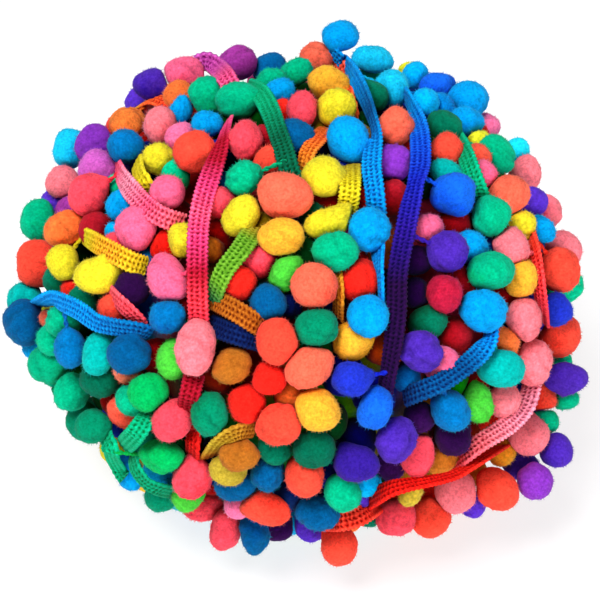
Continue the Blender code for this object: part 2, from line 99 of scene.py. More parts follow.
# The pompoms of the other sides' outer turns
OUTER_COUNT = 470  # as many pompoms as cover a whole ball
OUTER_SPACING = 11.0 * MM
OUTER_LEAST = 8.2 * MM  # one that ends up closer than this to another is left out
OUTER_START = 1.7  # they start at least this many radii from what the tables place
OUTER_TO_TAPE = 6.6 * MM
SPREAD_ROUNDS = 60
OUTER_SIZES = (0.86, 1.02)  # their radii, as shares of POMPOM_RADIUS
OUTER_STRETCHES = (1.0, 1.25)
ARC_SIZES = (0.88, 0.98)
TURN_POLES = 15  # as many turns run round the ball
TURN_RANK = 0.02  # how much each turn gives way to the one before it
TURN_JUMP = 0.382  # from turn to turn, as a share of the run of dyes
DYES_A_TURN = 0.9  # the run of dyes that one turn round the ball takes up
DYE_STRAY = 0.03  # a pompom's dye may be this share of the run before or after its turn's

# The inner turns and the core
INNER_COUNT = 330
INNER_DEPTH = 13.5 * MM
INNER_LEAST = 7.7 * MM
CORE_DEPTH = 17.0 * MM
CORE_PAINTED_SHADE_TONE = 0.35  # painted shade: how light the core is made

# How many steps of darker_richer() a dye takes in places. Most of these are painted shade; the braid's and
# the strands' mottling dyes and the stems are only darker.
STEP_DARKENS = 0.4  # one step is this much darker
UNDER_PAINTED_SHADE = 0.7  # painted shade on the underside of a pompom that the tables place
OUTER_UNDER_PAINTED_SHADE = 0.4  # and of one on the other sides
INNER_PAINTED_SHADE = 1.4
INNER_UNDER_PAINTED_SHADE = 1.5
CORE_PAINTED_SHADE = 0.9
STEM_DEEPER = 0.2
STRAND_UNDER_DEEPER = 0.5
HOLLOW_PAINTED_SHADE = 0.9
BRAID_UNDER_DEEPER = 0.6
UNDER_AHEAD = 0.3  # a length's pompoms are dyed below like the yarn this share further on

# The faces of a tuft: how many parts each edge of its icosahedron is cut into
FINE_CUTS = 7
SIDE_CUTS = 6
DEEP_CUTS = 3
LAYER_CUTS = (FINE_CUTS, FINE_CUTS, SIDE_CUTS)

# The form of a tuft. Plain numbers are shares of its radius, and waves are in radians a radius.
HALF_WIDTHS = (0.87, 1.12)  # along three axes, as it is trimmed
SQUARENESS = {2.0: 0.5, 2.2: 0.3, 2.6: 0.2}  # the power of its form, where 2 is round, and how often
LOBES = 6
LOBE_WAVES = (2.0, 4.5)
LOBE_HEIGHTS = (0.01, 0.024)
FURROWS_MOST = 3
FURROW_PLACES = (-0.4, 0.4)  # off the tuft's middle
FURROW_WIDTHS = (0.07, 0.13)
FURROW_DEPTHS = (0.03, 0.08)
FURROW_SWAY = 0.12  # how far a furrow swings to its sides
FURROW_WAVE = 4
CLUMP_WAVES = (9, 20)
CLUMP_SWAY = 1.5  # how far the waves bend, in radians
CLUMP_COUNT = 10  # as many waves together make the clumps
CLUMP_SUM = 2.2  # what so many waves come to, as a root mean square
CRINKLES = {0.006: 0.4, 0.010: 0.4, 0.018: 0.2}  # how high the clumps stand, and how often
FRAY = 0.008  # how far yarn ends stick out
POINT_MOST = 0.3  # how far a tuft may be drawn out to a point at its stem
POINT_SPREAD = 0.06
STEM_INWARD = 1.2  # a stem that doesn't show leaves the tuft this much inward
STEM_STRAY = 0.6  # and this much in any direction
TUFT_GAP = 0.05 * MM
PRESSED_EDGE = 0.4 * MM  # how softly a tuft's pressed side rounds over
PRESSED_FACING = 0.05  # what faces a neighbour less than this isn't pressed by it
UNPRESSED = 1000.0 * MM  # a limit that no tuft reaches
TUFT_FLOOR = 0.1 * MM  # above the floor

# How light a tuft is made: painted shade in its furrows, where it is pressed and deep in the ball, and
# painted light and shade on its clumps and yarn ends
FURROW_SHADE = 3.0  # painted shade: how much darker a furrow is made, times its depth
CRINKLE_SHADE = 4.0  # painted light and shade: how much lighter raised clumps and darker their hollows are made, times their height
# painted light: yarn ends that stick out are made lighter, this much for how far they stick out
FRAY_SHADE = 0.04
PRESSED_RUN = 2.5 * MM  # painted shade where a tuft is pressed: a side pressed in this far would be painted fully dark
PRESSED_SHADE_MOST = 0.35
SHADE_FROM = 7.5 * MM  # depths below the ball's outside between which painted shade makes the dye darker and more saturated
SHADE_TO = 14.5 * MM
SHADE_MOST = 0.75
TUFT_TONES = (0.06, 1.25)

# How a tuft's dye runs on towards its under dye on its underside, which is partly inward: that dye is
# painted shade, over the next dye of the run where the tuft has one
DOWN_SHARE = 0.5  # partly downward
DOWN_STRAY = 0.7  # and partly in any direction
RUN_CLUMPS = 0.2  # how uneven the clumps make the change
RUN_SLOPE = 0.9
RUN_STARTS = (-0.25, 0.3)  # how far on the change is at the tuft's middle
RUN_POWER = 1.3
RUN_MOST = (0.35, 0.9)  # how much of the next dye the underside takes on

# The fibres that stand out of a tuft
FIBRES = {FINE_CUTS: 270, SIDE_CUTS: 140, DEEP_CUTS: 10}
FIBRE_RADIUS = 0.1 * MM  # many times a real one, so that it shows
FIBRE_ROOT = 0.25 * MM  # how deep in the tuft it starts
FIBRE_LENGTHS = (0.3 * MM, 0.85 * MM)
FIBRE_LEAN = 0.5
FIBRE_INNER = 0.55  # they thin out towards what faces this much inward
FIBRE_LEAST = 0.03  # and stand as thin as this there
FIBRE_TONES = (0.85, 1.15)
FIBRE_SHADE = (0.85, 0.85, 0.85, 1.2)  # painted shade at its three root corners and painted light at its tip

# The braid
WALES = 4
STITCH = 1.05 * MM
STITCH_ROWS = 5  # rows of faces to a stitch
GLIMPSE_ROWS = 4
WALE_FACES = 4  # faces across a wale
BACK_FACES = 4
WALE_HEIGHT = 0.25 * MM
WALE_ROUND = 0.6  # how much it falls off to its sides
LOOP_RISE = 0.2  # how much of its height rises and falls with its loops
LOOP_BOW = 0.25  # how far a loop's sides lag behind its middle, in stitches
STITCH_SWAY = ((0.14, 0.61, 2.1), (0.1, 1.7, 4.0))  # how far stitches stray, in waves along and across
EYELET_DEPTH = 0.5 * MM
EYELET_WIDTH = 0.3  # in wales
EYELET_STAGGER = 0.1  # in stitches, from furrow to furrow
TAPE_SQUARE = 4  # the power of its section's form, where 2 is round
SCALLOP = 0.16 * MM  # how far its edges swing out at each stitch
SCALLOP_START = 1.0  # in radians, of which a stitch has a full turn
BACK_LOOP = 0.15  # how much of the back's height rises and falls with its loops
BACK_START = 2.0
WAVER = 0.12 * MM  # how far the tape wavers in and out
WAVER_LENGTH = 7.3 * MM  # along it, for a radian

# The braid's painted light and shade: glint on its loops, and shade between wales, in eyelets and on its
# back
BETWEEN_SHADE = 0.12  # how shaded it is between wales
EYELET_SHADE = 0.88  # in eyelets
EYELET_POWER = 1.3
LOOP_SHADE = 0.12  # between loops
BACK_SHADE = 0.4
LOOP_GLINT = 0.6  # how much of a wale's glint comes and goes with its loops
BRAID_TONE = 0.95
BRAID_GLINT = 0.3  # how much lighter what glints is
BRAID_SHADE = 0.85  # how much darker what is shaded is
BRAID_TONES = (0.08, 1.3)

# A stem's twisted pair of strands
STRAND_RADIUS = 0.38 * MM
STRAND_TWIST = 4.0 * MM
STRAND_STEP = 0.9 * MM
STRAND_ROWS_LEAST = 4
STRAND_SIDES = 6
STRAND_APART = 0.8  # how far each strand's middle is from the pair's, in its radii
STRAND_TONE = 0.9
ANY_SIDE = (0.31, 0.52, 0.79)  # a direction that no stem runs along

# The pieces
TUFT = 0  # the numbers of a piece's two materials
BRAID = 1
PIECES = {"front_turns": 4, "other_turns": 4, "inner_turns": 1}  # how many each part of the ball is in

# The materials' patterns
STRAND_SIZE = 0.6 * MM  # a strand of the tufts' yarn, or a ply of the braid's
STRAND_BUMP = 0.3 * MM
PLY_BUMP = 0.25 * MM
CLUMP_SIZE = 3.2 * MM
PATTERN = {"Detail": 3.0, "Roughness": 0.6}
PILE_GLOW = 0.7 * MM  # how far light goes into the pile

# The studio, in metres, but for the sensor's width and the lens, which are in millimetres
SENSOR_WIDTH = 36.0
CAMERA_LENS = 148.8
PICTURE_SIZE = 600
PICTURE_SHIFT = (-1, -8)  # right and up, in pixels of the picture
CAMERA_NEAR = 0.05
FLOOR_REACH = 3.0  # from its middle to its edges
FLOOR_SQUARES = 8
TABLE_SHADE = 0.36
TABLE_GLOW = 0.73
WORLD_LIGHT = 0.29
WHITE = (1.0, 1.0, 1.0)
Light = namedtuple("Light", "name place size power")  # its size is its width, and its power in watts
LIGHTS = (
    Light("key", (-0.25, -0.42, 1.0), 0.5, 11.0),
    Light("fill", (0.3, -0.9, 0.3), 0.6, 5.2),
)

SEED = 514  # for every random draw

# The dyes, as sRGB hex values. Wine, plum, navy, forest and olive are partly painted shade: they are given
# where the trim lies in deep shade.
DYES = {
    "wine": 0x961220,
    "crimson": 0xB81A3C,
    "scarlet": 0xF0241A,
    "coral": 0xFF4C38,
    "salmon": 0xFF6A50,
    "rose": 0xFA4A5C,
    "blush": 0xFF7C88,
    "shell": 0xFFA4BC,
    "pink": 0xFF6690,
    "fuchsia": 0xF24E8C,
    "orchid": 0xC85CBC,
    "magenta": 0xA4389C,
    "purple": 0x8634B8,
    "violet": 0x4C28AC,
    "indigo": 0x341A92,
    "plum": 0x28063C,
    "ultramarine": 0x2034C4,
    "royal": 0x1468E4,
    "navy": 0x0A2458,
    "petrol": 0x005890,
    "azure": 0x009EE8,
    "cobalt": 0x0074B8,
    "cyan": 0x14C4F0,
    "turquoise": 0x00B4AC,
    "green": 0x00B484,
    "jade": 0x008A64,
    "emerald": 0x00B45C,
    "forest": 0x00644A,
    "lime": 0x4CC83C,
    "grass": 0x74A834,
    "yellow": 0xE6D62A,
    "olive": 0xBCA432,
    "amber": 0xFCB232,
    "ochre": 0xB46A1E,
    "orange": 0xFF7636,
}
# The order in which the trim runs through them
RAINBOW = (
    "coral", "salmon", "blush", "pink", "purple", "violet", "royal", "azure", "turquoise",
    "green", "lime", "yellow", "amber", "orange", "scarlet",
)

# The loose lengths of the front. A tape's points are (right, up, roll); roll turns its face, in
# degrees, from facing the eye. The tape runs through its dyes, and tufts has a dye for each pompom.
# A pompom's place is (right, up) and, if it isn't an ordinary ball, its length, its width and the
# lean of its length, in millimetres and degrees as they look on the chart.
FrontLength = namedtuple("FrontLength", "name slot dyes tufts tape pompoms")
FRONT_LENGTHS = (
    FrontLength(
        "crown_azure", "azure", "azure azure azure petrol azure azure",
        "azure cyan cyan azure",
        tape=((7.3, 60.6, 60), (10, 58, 50), (13, 54.6, 40), (15.5, 50, 44), (17.5, 45, 58),
              (18.7, 40, 66), (17.9, 35.5, 30), (17.6, 31, 16), (18.3, 26, 20), (18.9, 20, 20)),
        pompoms=((9.7, 63.7, 9.6, 8.2, 0), (18.2, 58.2, 11, 7.2, -15), (22.7, 50.9, 9.8, 9, 90),
                 (12, 37.8, 12, 11, 80)),
    ),
    FrontLength(
        "mid_azure", "azure", "azure azure",
        "azure azure",
        tape=((19.2, 11.5, 48), (19.5, 9, 52), (20, 5, 74), (20.3, 0, 80), (20.4, -4, 80)),
        pompoms=((17.3, 15, 11.2, 10.4, 0), (16.7, -6.2, 11.2, 10.2, 90)),
    ),
    FrontLength(
        "front_ultramarine", "ultramarine",
        "azure azure azure royal ultramarine indigo plum plum plum",
        "azure royal violet violet ultramarine royal",
        tape=((25.8, 50, 66), (27.6, 46.6, 58), (29.2, 42.4, 34), (29.8, 38, 10), (29.8, 32, 10),
              (28.7, 27, 40), (27.3, 21.5, 20), (26, 15, 15), (24.8, 9, 20), (24, 3, 15),
              (23.9, -4, 15), (23.2, -12, 25), (21.9, -20, 40), (20.8, -26, 40)),
        pompoms=((41.3, 47.8, 10.8, 10.2, 0), (38.3, 24.2, 11.6, 11, 0), (36.6, 10.2, 11, 10.4, 30),
                 (30.3, -14.8, 11.8, 9.8, 100), (12.3, -21.8, 9.8, 9.2, 0), (18.6, -29, 11, 9.6, 80)),
    ),
    FrontLength(
        "upper_green", "green", "green green green forest forest",
        "green green",
        tape=((-13.2, 51, 0), (-10.2, 49.6, 0), (-7.8, 45.5, 10), (-6.2, 41, 20), (-4.3, 35.5, 10),
              (-2.9, 30.5, 10), (-1, 26, 0)),
        pompoms=((-15.6, 48, 10.9, 10.1, 0), (-14.5, 28.2, 9.9, 9.5, 0)),
    ),
    FrontLength(
        "front_pink", "pink",
        "pink fuchsia crimson crimson fuchsia pink fuchsia crimson rose crimson",
        "rose pink blush",
        tape=((-18.3, 42.2, 70), (-19.2, 38.8, 64), (-20.6, 34.6, 40), (-23.4, 26.8, 0),
              (-24.9, 21.1, 0), (-25.7, 15.5, 0), (-25.9, 9.3, 0), (-25.9, 1.8, 5), (-25.6, -5.8, 15),
              (-25.2, -9.5, 20)),
        pompoms=((-14, 38, 11, 8.6, 92), (-33.4, 3.2, 13.4, 9.8, 112), (-26.4, -14, 13.2, 11, 100)),
    ),
    FrontLength(
        "mid_lime", "green", "olive grass grass grass forest",
        "yellow",
        tape=((-11.5, 16, 0), (-13.5, 13, 10), (-15.6, 10, 20), (-17.7, 7.5, 25), (-19.4, 5, 25),
              (-20.9, 1.5, 35), (-22, -2.5, 45)),
        pompoms=((-14.8, 18.8, 11, 8.8, 55),),
    ),
    FrontLength(
        "mid_yellow", "yellow", "olive yellow yellow",
        "yellow yellow",
        tape=((12.4, 31.5, 10), (12.3, 27.5, 0), (12.1, 24, 0), (11.6, 20.5, 20)),
        pompoms=((5.6, 29, 11.2, 10.6, 0), (7.2, 17.2, 13.6, 8, 25)),
    ),
    FrontLength(
        "left_pink", "pink", "pink pink shell pink blush",
        "pink pink rose",
        tape=((-46, 31.3, 60), (-44.6, 28.5, 42), (-42.3, 25.3, 10), (-39.8, 22.5, 0), (-36.8, 20, 5),
              (-33, 18.1, 5), (-29.5, 17, 10)),
        pompoms=((-33.2, 25, 9, 8.8, 0), (-40.8, 15.7, 11.8, 10.4, 100),
                 (-52.6, 23.8, 11.4, 10.4, 100)),
    ),
    FrontLength(
        "left_yellow", "yellow", "yellow yellow amber yellow",
        "yellow yellow",
        tape=((-54.5, 14.2, 45), (-50.5, 11.8, 20), (-46, 9.3, 10), (-42, 7.3, 0), (-38.8, 6.3, 0)),
        pompoms=((-50.2, 4, 13, 9.8, 0), (-59.3, 7.3, 9.6, 8.6, 90)),
    ),
    FrontLength(
        "left_azure", "azure", "azure azure azure petrol",
        "petrol cobalt petrol cobalt",
        tape=((-65.5, -3, 56), (-62.5, -1.8, 40), (-59.5, -2.6, 32), (-55, -4.8, 30), (-51, -7.6, 34),
              (-46, -8.8, 38), (-41.5, -9.4, 44), (-37.5, -10.3, 50)),
        pompoms=((-69, -7.6, 11.6, 10.8, 90), (-57.8, -14.3, 9.8, 8.4, 85),
                 (-42.8, -14.6, 11.5, 10.4, 0), (-33.4, -6.2, 9.8, 8.4, 0)),
    ),
    FrontLength(
        "lower_azure", "azure", "azure azure petrol petrol navy",
        "azure turquoise cobalt",
        tape=((47.2, -7, 40), (47.4, -10.6, 50), (45.8, -13.8, 20), (43.7, -16.2, 10), (40, -19.2, 20),
              (35, -22.6, 20), (30, -24.7, 20), (26, -26.3, 20)),
        pompoms=((45.7, -4.7, 12.2, 11, 0), (50, -19, 12, 9.8, 10), (37.3, -29.7, 11.4, 9.6, -30)),
    ),
    FrontLength(
        "lower_pink", "pink", "shell shell shell blush rose coral",
        "blush blush",
        tape=((58.2, -20, 30), (57.2, -25.5, 20), (55.8, -29, 15), (53, -32.2, 10), (49.5, -34.8, 15),
              (45, -37.6, 25), (40.5, -41.2, 40), (37.3, -44.3, 60)),
        pompoms=((57, -35.9, 10.8, 10.2, 0), (38.4, -50, 12, 10.6, 110)),
    ),
    FrontLength(
        "right_green", "green", "green green",
        "green green",
        tape=((39.5, 38, 50), (41.2, 34, 30), (42.6, 30, 25), (44.3, 25.5, 25), (45.6, 22, 30)),
        pompoms=((49, 34.5, 10.6, 8.2, -55), (47.4, 18.6, 10.8, 10.2, 0)),
    ),
    FrontLength(
        "right_coral", "coral", "salmon coral rose rose",
        "coral coral blush",
        tape=((57, 15.5, 55), (58.4, 9.5, 50), (59.2, 4, 50), (60, -2, 55), (60.7, -7, 60)),
        pompoms=((64.5, 5.5, 10.8, 10.6, 0), (64.9, -11, 11.2, 10.8, 90), (52.3, 11.5, 10.4, 9.2, 100)),
    ),
    FrontLength(
        "low_green", "green", "green green",
        "jade emerald",
        tape=((-49, -34.5, 50), (-48, -38, 50), (-46.8, -42, 50), (-44, -46.5, 50)),
        pompoms=((-51, -33.9, 9.4, 8.8, 0), (-34.3, -41.3, 11.4, 9, 0)),
    ),
    FrontLength(
        "low_coral", "coral", "scarlet coral coral",
        "coral rose",
        tape=((19, -53, 20), (14.5, -56, 0), (9.5, -57.3, 0), (4, -57, 20)),
        pompoms=((9.4, -63.6, 10.6, 9.4, 90), (23.5, -56.2, 11.2, 9.2, 0)),
    ),
)

# The other sides' lengths run on arcs: where the arc starts, as azimuth (0 is the right side,
# 90 the back) and height angle, its heading (0 runs round the ball, 90 runs up), its length and
# how far it bends to its left on the way. All angles are in degrees.
ArcLength = namedtuple("ArcLength", "name slot dyes azimuth height heading arc bend")
ARC_LENGTHS = (
    ArcLength("back_azure", "azure", "azure ultramarine", 50, -14, 66, 44 * MM, -14),
    ArcLength("back_pink", "pink", "pink magenta", 78, 21, -8, 44 * MM, 16),
    ArcLength("back_green", "green", "green green lime orange coral", 132, 6, 74, 38 * MM, 16),
    ArcLength("back_yellow", "yellow", "amber yellow", 80, -12, 14, 42 * MM, 14),
    ArcLength("back_ultramarine", "ultramarine", "ultramarine violet", 62, -37, 10, 54 * MM, -14),
    ArcLength("rear_violet", "violet", "violet magenta", 150, -26, 70, 50 * MM, 18),
    ArcLength("left_turquoise", "turquoise", "turquoise forest green", 176, -34, 44, 42 * MM, -18),
    ArcLength("rear_coral", "coral", "salmon coral", 16, -32, 56, 48 * MM, 18),
)

# The pompoms of the front's outer turns, by dye. A place is (right, up, layer) and, unless the
# pompom is an ordinary ball, its length, or its length, its width and the lean of its length.
# Layer 0 lies on top, 1 is partly covered, and 2 only shows between the others.
FRONT_TURNS = {
    "wine": (
        (-51.2, 16.3, 2), (22.6, 23.6, 2), (38.6, 17.3, 2), (-37.3, -16, 2), (38, -10.5, 2),
        (-9.3, 37.5, 2), (40, 2.8, 2),
    ),
    "crimson": ((35.4, -0.7, 1, 10, 9.2, 90),),
    "scarlet": (
        (14.6, 3, 1, 12, 10, 80), (-4.3, 44.6, 2, 7), (6.2, 22.6, 2), (-7.6, -21.6, 1, 9.2),
        (-13.6, -28, 1, 10), (-15.2, 2.3, 1, 9), (-34.5, 11.5, 2), (30.5, -51.5, 2, 8),
        (48.3, -32, 2, 8), (15.6, 23, 2, 7), (-21.6, 13.5, 2), (44, 39.6, 2, 6), (-57.3, 0.5, 2, 6),
    ),
    "coral": (
        (-26.6, 34.8, 0, 11, 10.6, 0), (-43.8, 42, 1, 9.6, 7.4, 15), (-66.2, 7, 0, 12, 10.4, 85),
        (-47.3, -3.4, 1, 7.6), (-7.8, 32.6, 1, 8), (36.3, 35.2, 1, 9.4, 8.4, 90), (44.4, 33.6, 2, 7.5),
        (-6, -12.3, 0, 11.8, 10.8, 90), (-5.4, -33, 0, 12, 11, 0), (48.8, -49.2, 0, 11.4, 10.8, 0),
        (0.8, -45.6, 1, 10.8), (-9, -54, 0, 12.6, 8.2, -15), (32.7, -55.8, 1, 10), (61, -27, 1, 8),
        (-44.6, -30, 2, 9.5, 7.4, -60),
    ),
    "salmon": (
        (4, 58.6, 1, 9, 7.8, 0), (9.6, 55.3, 2, 8), (23.4, 41.3, 0, 10.2, 9.2, 90),
        (51.8, 24, 0, 11, 10, 0), (2.2, -18.7, 0, 12, 10.8, 0), (-64, -6.8, 2, 5),
        (-42.6, -19.6, 2, 8.5), (-4, 24.2, 0, 13.2, 12.4, 0), (3.4, 1.9, 0, 12.8, 11.8, 0),
    ),
    "rose": (
        (0.4, 45.8, 0, 9.6, 7.8, 85), (-19.6, 22.6, 1, 8), (-9.8, 7.2, 1, 8.8), (-46, 10.7, 1, 8.4),
        (-32.5, -32.2, 0, 11.4, 9.8, 85), (-27.5, -46, 0, 11, 9.6, 90), (-23.8, -54.2, 1, 11, 7.6, 0),
        (-19, -58.8, 1, 11, 8.2, 75), (29, -40.6, 1, 11, 8.6, 80),
    ),
    "blush": (
        (-35.2, 41.5, 0, 10.2, 8.2, 85), (-59.4, 26.9, 1, 9, 8.4, 0), (56, 29.3, 1, 10, 8.6, 100),
        (55.6, -6.9, 0, 11, 9.2, 95), (58, -17.8, 0, 11.6, 9.8, 80), (50.7, -27.2, 1),
        (65.6, 10.6, 1, 9.4), (-36.2, 46.7, 2, 8),
    ),
    "pink": (
        (-29.3, 54.4, 0, 10.8, 8.6, 10), (-30.3, 38.6, 2, 8.5), (45.6, 29.4, 1, 8, 6.6, -60),
        (46.2, 41.4, 2, 7), (35, -18.2, 1, 9.8), (-16, -53.4, 2, 7), (31.8, 15.7, 1, 8.2),
    ),
    "orchid": ((-50.7, 30.5, 1, 9.8),),
    "magenta": ((-15.8, 57.3, 1, 10.6, 8.8, 0),),
    "purple": (
        (-51.8, 37, 0, 10.6, 9.4, 0), (23.4, 32.2, 1, 9.8, 8.6, 90), (58.3, -47.5, 1, 9.4, 8.6, 0),
    ),
    "violet": (
        (-37.2, 51.5, 0, 8.8, 8, 0), (-40.3, 46.3, 2, 8), (-60.8, 22, 2, 8), (57.5, 22.5, 2, 8),
        (63.5, -39.5, 1, 9.2, 8, 90), (65.8, -22, 0, 12, 8, -8), (23.7, -37, 0, 12.4, 10.4, 75),
        (43, -53, 2, 7), (15.5, -51, 2, 7), (57.5, -29, 2, 7), (2.5, -58, 2, 9),
    ),
    "indigo": ((14, -42.8, 0, 11.4, 10, 0), (54.5, -43, 1, 10, 8, 0)),
    "plum": (
        (28.8, 8, 2, 8), (29, -1, 2, 8), (22.4, -43.2, 2, 8), (-42.3, 0.8, 1, 9), (-5.8, -58.3, 2),
        (29.5, -31.3, 2), (38, -35.6, 1, 10.2),
    ),
    "ultramarine": ((63.7, -4.3, 1, 8.5),),
    "royal": ((34, 51.3, 1, 9.4, 7.6, 0),),
    "navy": ((-3.3, -3.4, 2, 7.5), (-3, -51.3, 2, 8.5)),
    "petrol": (
        (-7.8, 56, 2, 8.6), (-1.5, 38.6, 1, 9.6), (-8.2, -2.7, 1, 9.2), (-8.2, -44.9, 1, 9.4),
        (-16.6, -47.8, 1, 10.8, 8.8, -20), (3.6, -55, 0, 12, 8.8, -15),
        (-11.8, -60.2, 0, 10.8, 7.8, 87), (-20.2, 26.5, 2, 8), (26.3, -21.5, 2, 8),
    ),
    "azure": (
        (-66, -12.6, 1, 8.5), (-29.8, 45.3, 1, 8.6, 6, 65), (-23.4, 41.8, 1, 8, 6.8, 0),
        (-44.5, 21.5, 1, 8.5), (-45.5, 14.5, 2, 7.5), (-5.6, 49.9, 1, 8.8, 6.6, 15),
        (41.4, 42, 1, 9.4, 8.2, 0), (60, 15.8, 1, 8, 6, -40), (42.6, 10.8, 1, 9.2),
        (-43.3, -44.8, 1, 10.6, 6.8, -62), (-36, -45.8, 2, 8.5), (28.3, 54.3, 2, 7),
        (16.2, -47.6, 2, 8), (-38.5, 9, 2, 6), (31, 46.8, 2, 8),
    ),
    "cobalt": ((-43.6, 36.1, 0, 9.8, 9.4, 0), (35.6, 45.6, 2)),
    "cyan": ((-57.4, 36, 1, 10.2, 8.4, 90), (53.8, 35.1, 2, 7)),
    "turquoise": ((-68.8, -2.2, 1, 9.2), (36.2, 29.8, 1, 9, 7.4, 0), (-50.6, -15.7, 1, 11, 9, 80)),
    "green": (
        (-23.2, 48.8, 0, 10.2, 9.8, 0), (-7.5, 52.8, 1, 8, 6.2, 15), (-1.3, 54.8, 1, 8.4, 7, 30),
        (18.4, 54.3, 2, 8), (-65, 18, 1, 10, 8.8, 90), (-31.3, 29.6, 2, 7), (-46.6, 25.8, 2, 7),
        (-59.6, -7.3, 1, 8.4), (-62.2, -12.5, 1, 8.4), (-61.8, -19.9, 1, 9, 7.8, -15),
        (8.2, 10, 0, 11.8, 10.2, 0), (47, 5.2, 0, 11.6, 11, 0), (66, 1.7, 2), (64.5, -17.2, 2, 6.5),
        (65.8, -26.7, 1, 6.8, 5.6, 0), (60.7, -31.3, 1, 7), (10.4, -50.2, 0, 9.6, 8.8, -30),
        (-42, -27, 1, 8.6), (-58.4, -25.2, 1, 9),
    ),
    "jade": ((3.6, -8.7, 0, 10.8, 10.4, 0), (-22.8, -30.4, 0, 11, 10, 80), (-34.7, -50.9, 1, 9)),
    "forest": (
        (-50, -21.5, 1, 10.8, 9.4, 0), (31.7, -6.8, 2, 10), (-6.8, -39.8, 2, 8.6),
        (3.2, -39.3, 1, 10.8, 10, 0), (-60.5, 3, 2, 8), (18.6, 49.2, 2, 8), (35.6, 41, 2),
        (-54, -1.7, 2, 8.5), (17.5, -55.3, 2, 7), (3.2, 19, 2, 7), (-38.5, -37, 2, 8),
    ),
    "emerald": ((-38.2, -25.3, 0, 10.2, 9.6, 0),),
    "lime": (
        (-31.6, -16.8, 1, 11, 8.8, 75), (-3.9, 4.8, 1, 10.4, 8.2, 65), (44, -27.7, 1, 10.8, 8.6, 100),
        (-28, -50.6, 1, 8.6),
    ),
    "yellow": (
        (-35.5, 33, 1, 8.8, 8, 0), (-29.6, 13, 1, 8.4), (8.6, 46, 0, 10.8, 10, 0), (54.8, 16.8, 1, 8),
        (44.3, 38.2, 2, 6), (27.3, 54.6, 2, 6),
    ),
    "olive": ((-17.8, -44.5, 1, 9.8, 8.2, 0), (27.4, -50.3, 2, 6.5)),
    "amber": (
        (6.9, 52.3, 1, 10.6, 8.8, 0), (-5, 13.8, 0, 12.8, 9.2, 0), (4.2, -29.5, 0, 11.8, 10.8, -20),
        (55, 3.2, 0, 9.8, 8, 90), (13, -12, 1, 11, 10, 0), (51, -40.3, 1, 7.6, 6.8, 30),
    ),
    "ochre": (
        (43, -45, 2, 7), (-17.4, -18.5, 1, 9.8), (-22.6, 10.8, 2, 7.5), (35.6, -41.6, 2, 8.6),
        (-15.5, -40.6, 0, 10.5, 8.2, 10),
    ),
    "orange": (
        (-30.8, 48.6, 1, 8), (-58.6, 15.7, 0, 11.6, 9.4, 20), (51, -12.5, 1, 8), (-3, -25.6, 2, 8),
    ),
}

# Braid that shows between the outer turns, this far below the ball's outside
Glimpse = namedtuple("Glimpse", "name dyes depth tape")
GLIMPSES = (
    Glimpse(
        "top_orange", "ochre orange amber", 7 * MM,
        ((7.2, 41, 40), (4.5, 38.5, 40), (1.8, 35, 40), (0.8, 31, 50), (0.6, 28, 55)),
    ),
    Glimpse(
        "top_coral", "salmon coral orange", 9 * MM,
        ((9.5, 57, 40), (11.6, 52, 50), (12.4, 47, 55), (13.5, 42.5, 60)),
    ),
    Glimpse(
        "centre_ochre", "ochre ochre", 6 * MM,
        ((-23, -1.2, 10), (-19.8, -2.8, 5), (-15.3, -5.3, 0), (-11, -8, 0), (-8, -9.5, 0)),
    ),
    Glimpse(
        "centre_navy", "navy navy", 7 * MM,
        ((-23, -8, 0), (-18.5, -9.8, 0), (-13.5, -11.4, 0), (-9.5, -12.5, 0)),
    ),
    Glimpse(
        "low_olive_tape", "ochre olive ochre", 6 * MM,
        ((-23, -41, 55), (-20.3, -37.5, 50), (-16, -35, 45), (-11.5, -34.2, 40)),
    ),
    Glimpse(
        "left_blush", "blush rose", 5 * MM,
        ((-48.5, 0.6, 55), (-44.8, -3, 50), (-41.3, -6.2, 50), (-39.8, -8.4, 50)),
    ),
    Glimpse(
        "centre_amber_tape", "amber ochre", 8 * MM,
        ((8.8, 6, 60), (9.4, 1, 60), (9.3, -6, 60)),
    ),
    Glimpse(
        "low_coral_strand", "coral scarlet scarlet", 3 * MM,
        ((50, -38.8, 66), (45, -42.2, 66), (38, -46, 62), (30, -47.6, 55), (23, -49, 40),
         (16.5, -52.3, 20)),
    ),
    Glimpse(
        "crown_orchid", "orchid pink", 3 * MM,
        ((-26, 57, 20), (-23.4, 57.6, 10), (-20.6, 55.8, 0), (-18.2, 52.8, 0), (-17, 49.5, 0)),
    ),
    Glimpse(
        "low_crimson", "crimson wine", 5 * MM,
        ((-26.5, -20, 0), (-27.4, -24, 0), (-28.2, -28, 10), (-28.2, -31, 20)),
    ),
    Glimpse(
        "low_red", "scarlet wine", 8 * MM,
        ((-26.8, -34, 50), (-27, -38, 50), (-27, -42, 50)),
    ),
    Glimpse(
        "left_loop", "yellow yellow", 4 * MM,
        ((-41, 32.3, 50), (-40.2, 29.5, 45), (-38.6, 26.8, 45), (-37, 24.8, 45)),
    ),
    Glimpse(
        "low_green_patch", "green green", 2 * MM,
        ((-38, -30.5, 40), (-40.2, -33.8, 10), (-42, -36.2, 0), (-44.3, -38.6, 10)),
    ),
    Glimpse(
        "low_green_band", "green forest", 3 * MM,
        ((-41.8, -40.5, 60), (-41, -44.5, 58), (-38.2, -48, 55), (-34, -49.6, 50), (-31, -49.8, 50)),
    ),
)

# A pompom's radius is that of a ball as large as it, stretch is its length to its width, and axis is
# the way its length runs. Its dye is top on the outside and under below, where under is darker as
# painted shade and, on lengths and the other sides, partly the next dye of the run. It is tied at stem,
# if its stem shows, its mesh is as fine as cuts says, and group is the part of the ball that it belongs to.
Pompom = namedtuple("Pompom", "middle radius stretch axis top under stem cuts group")


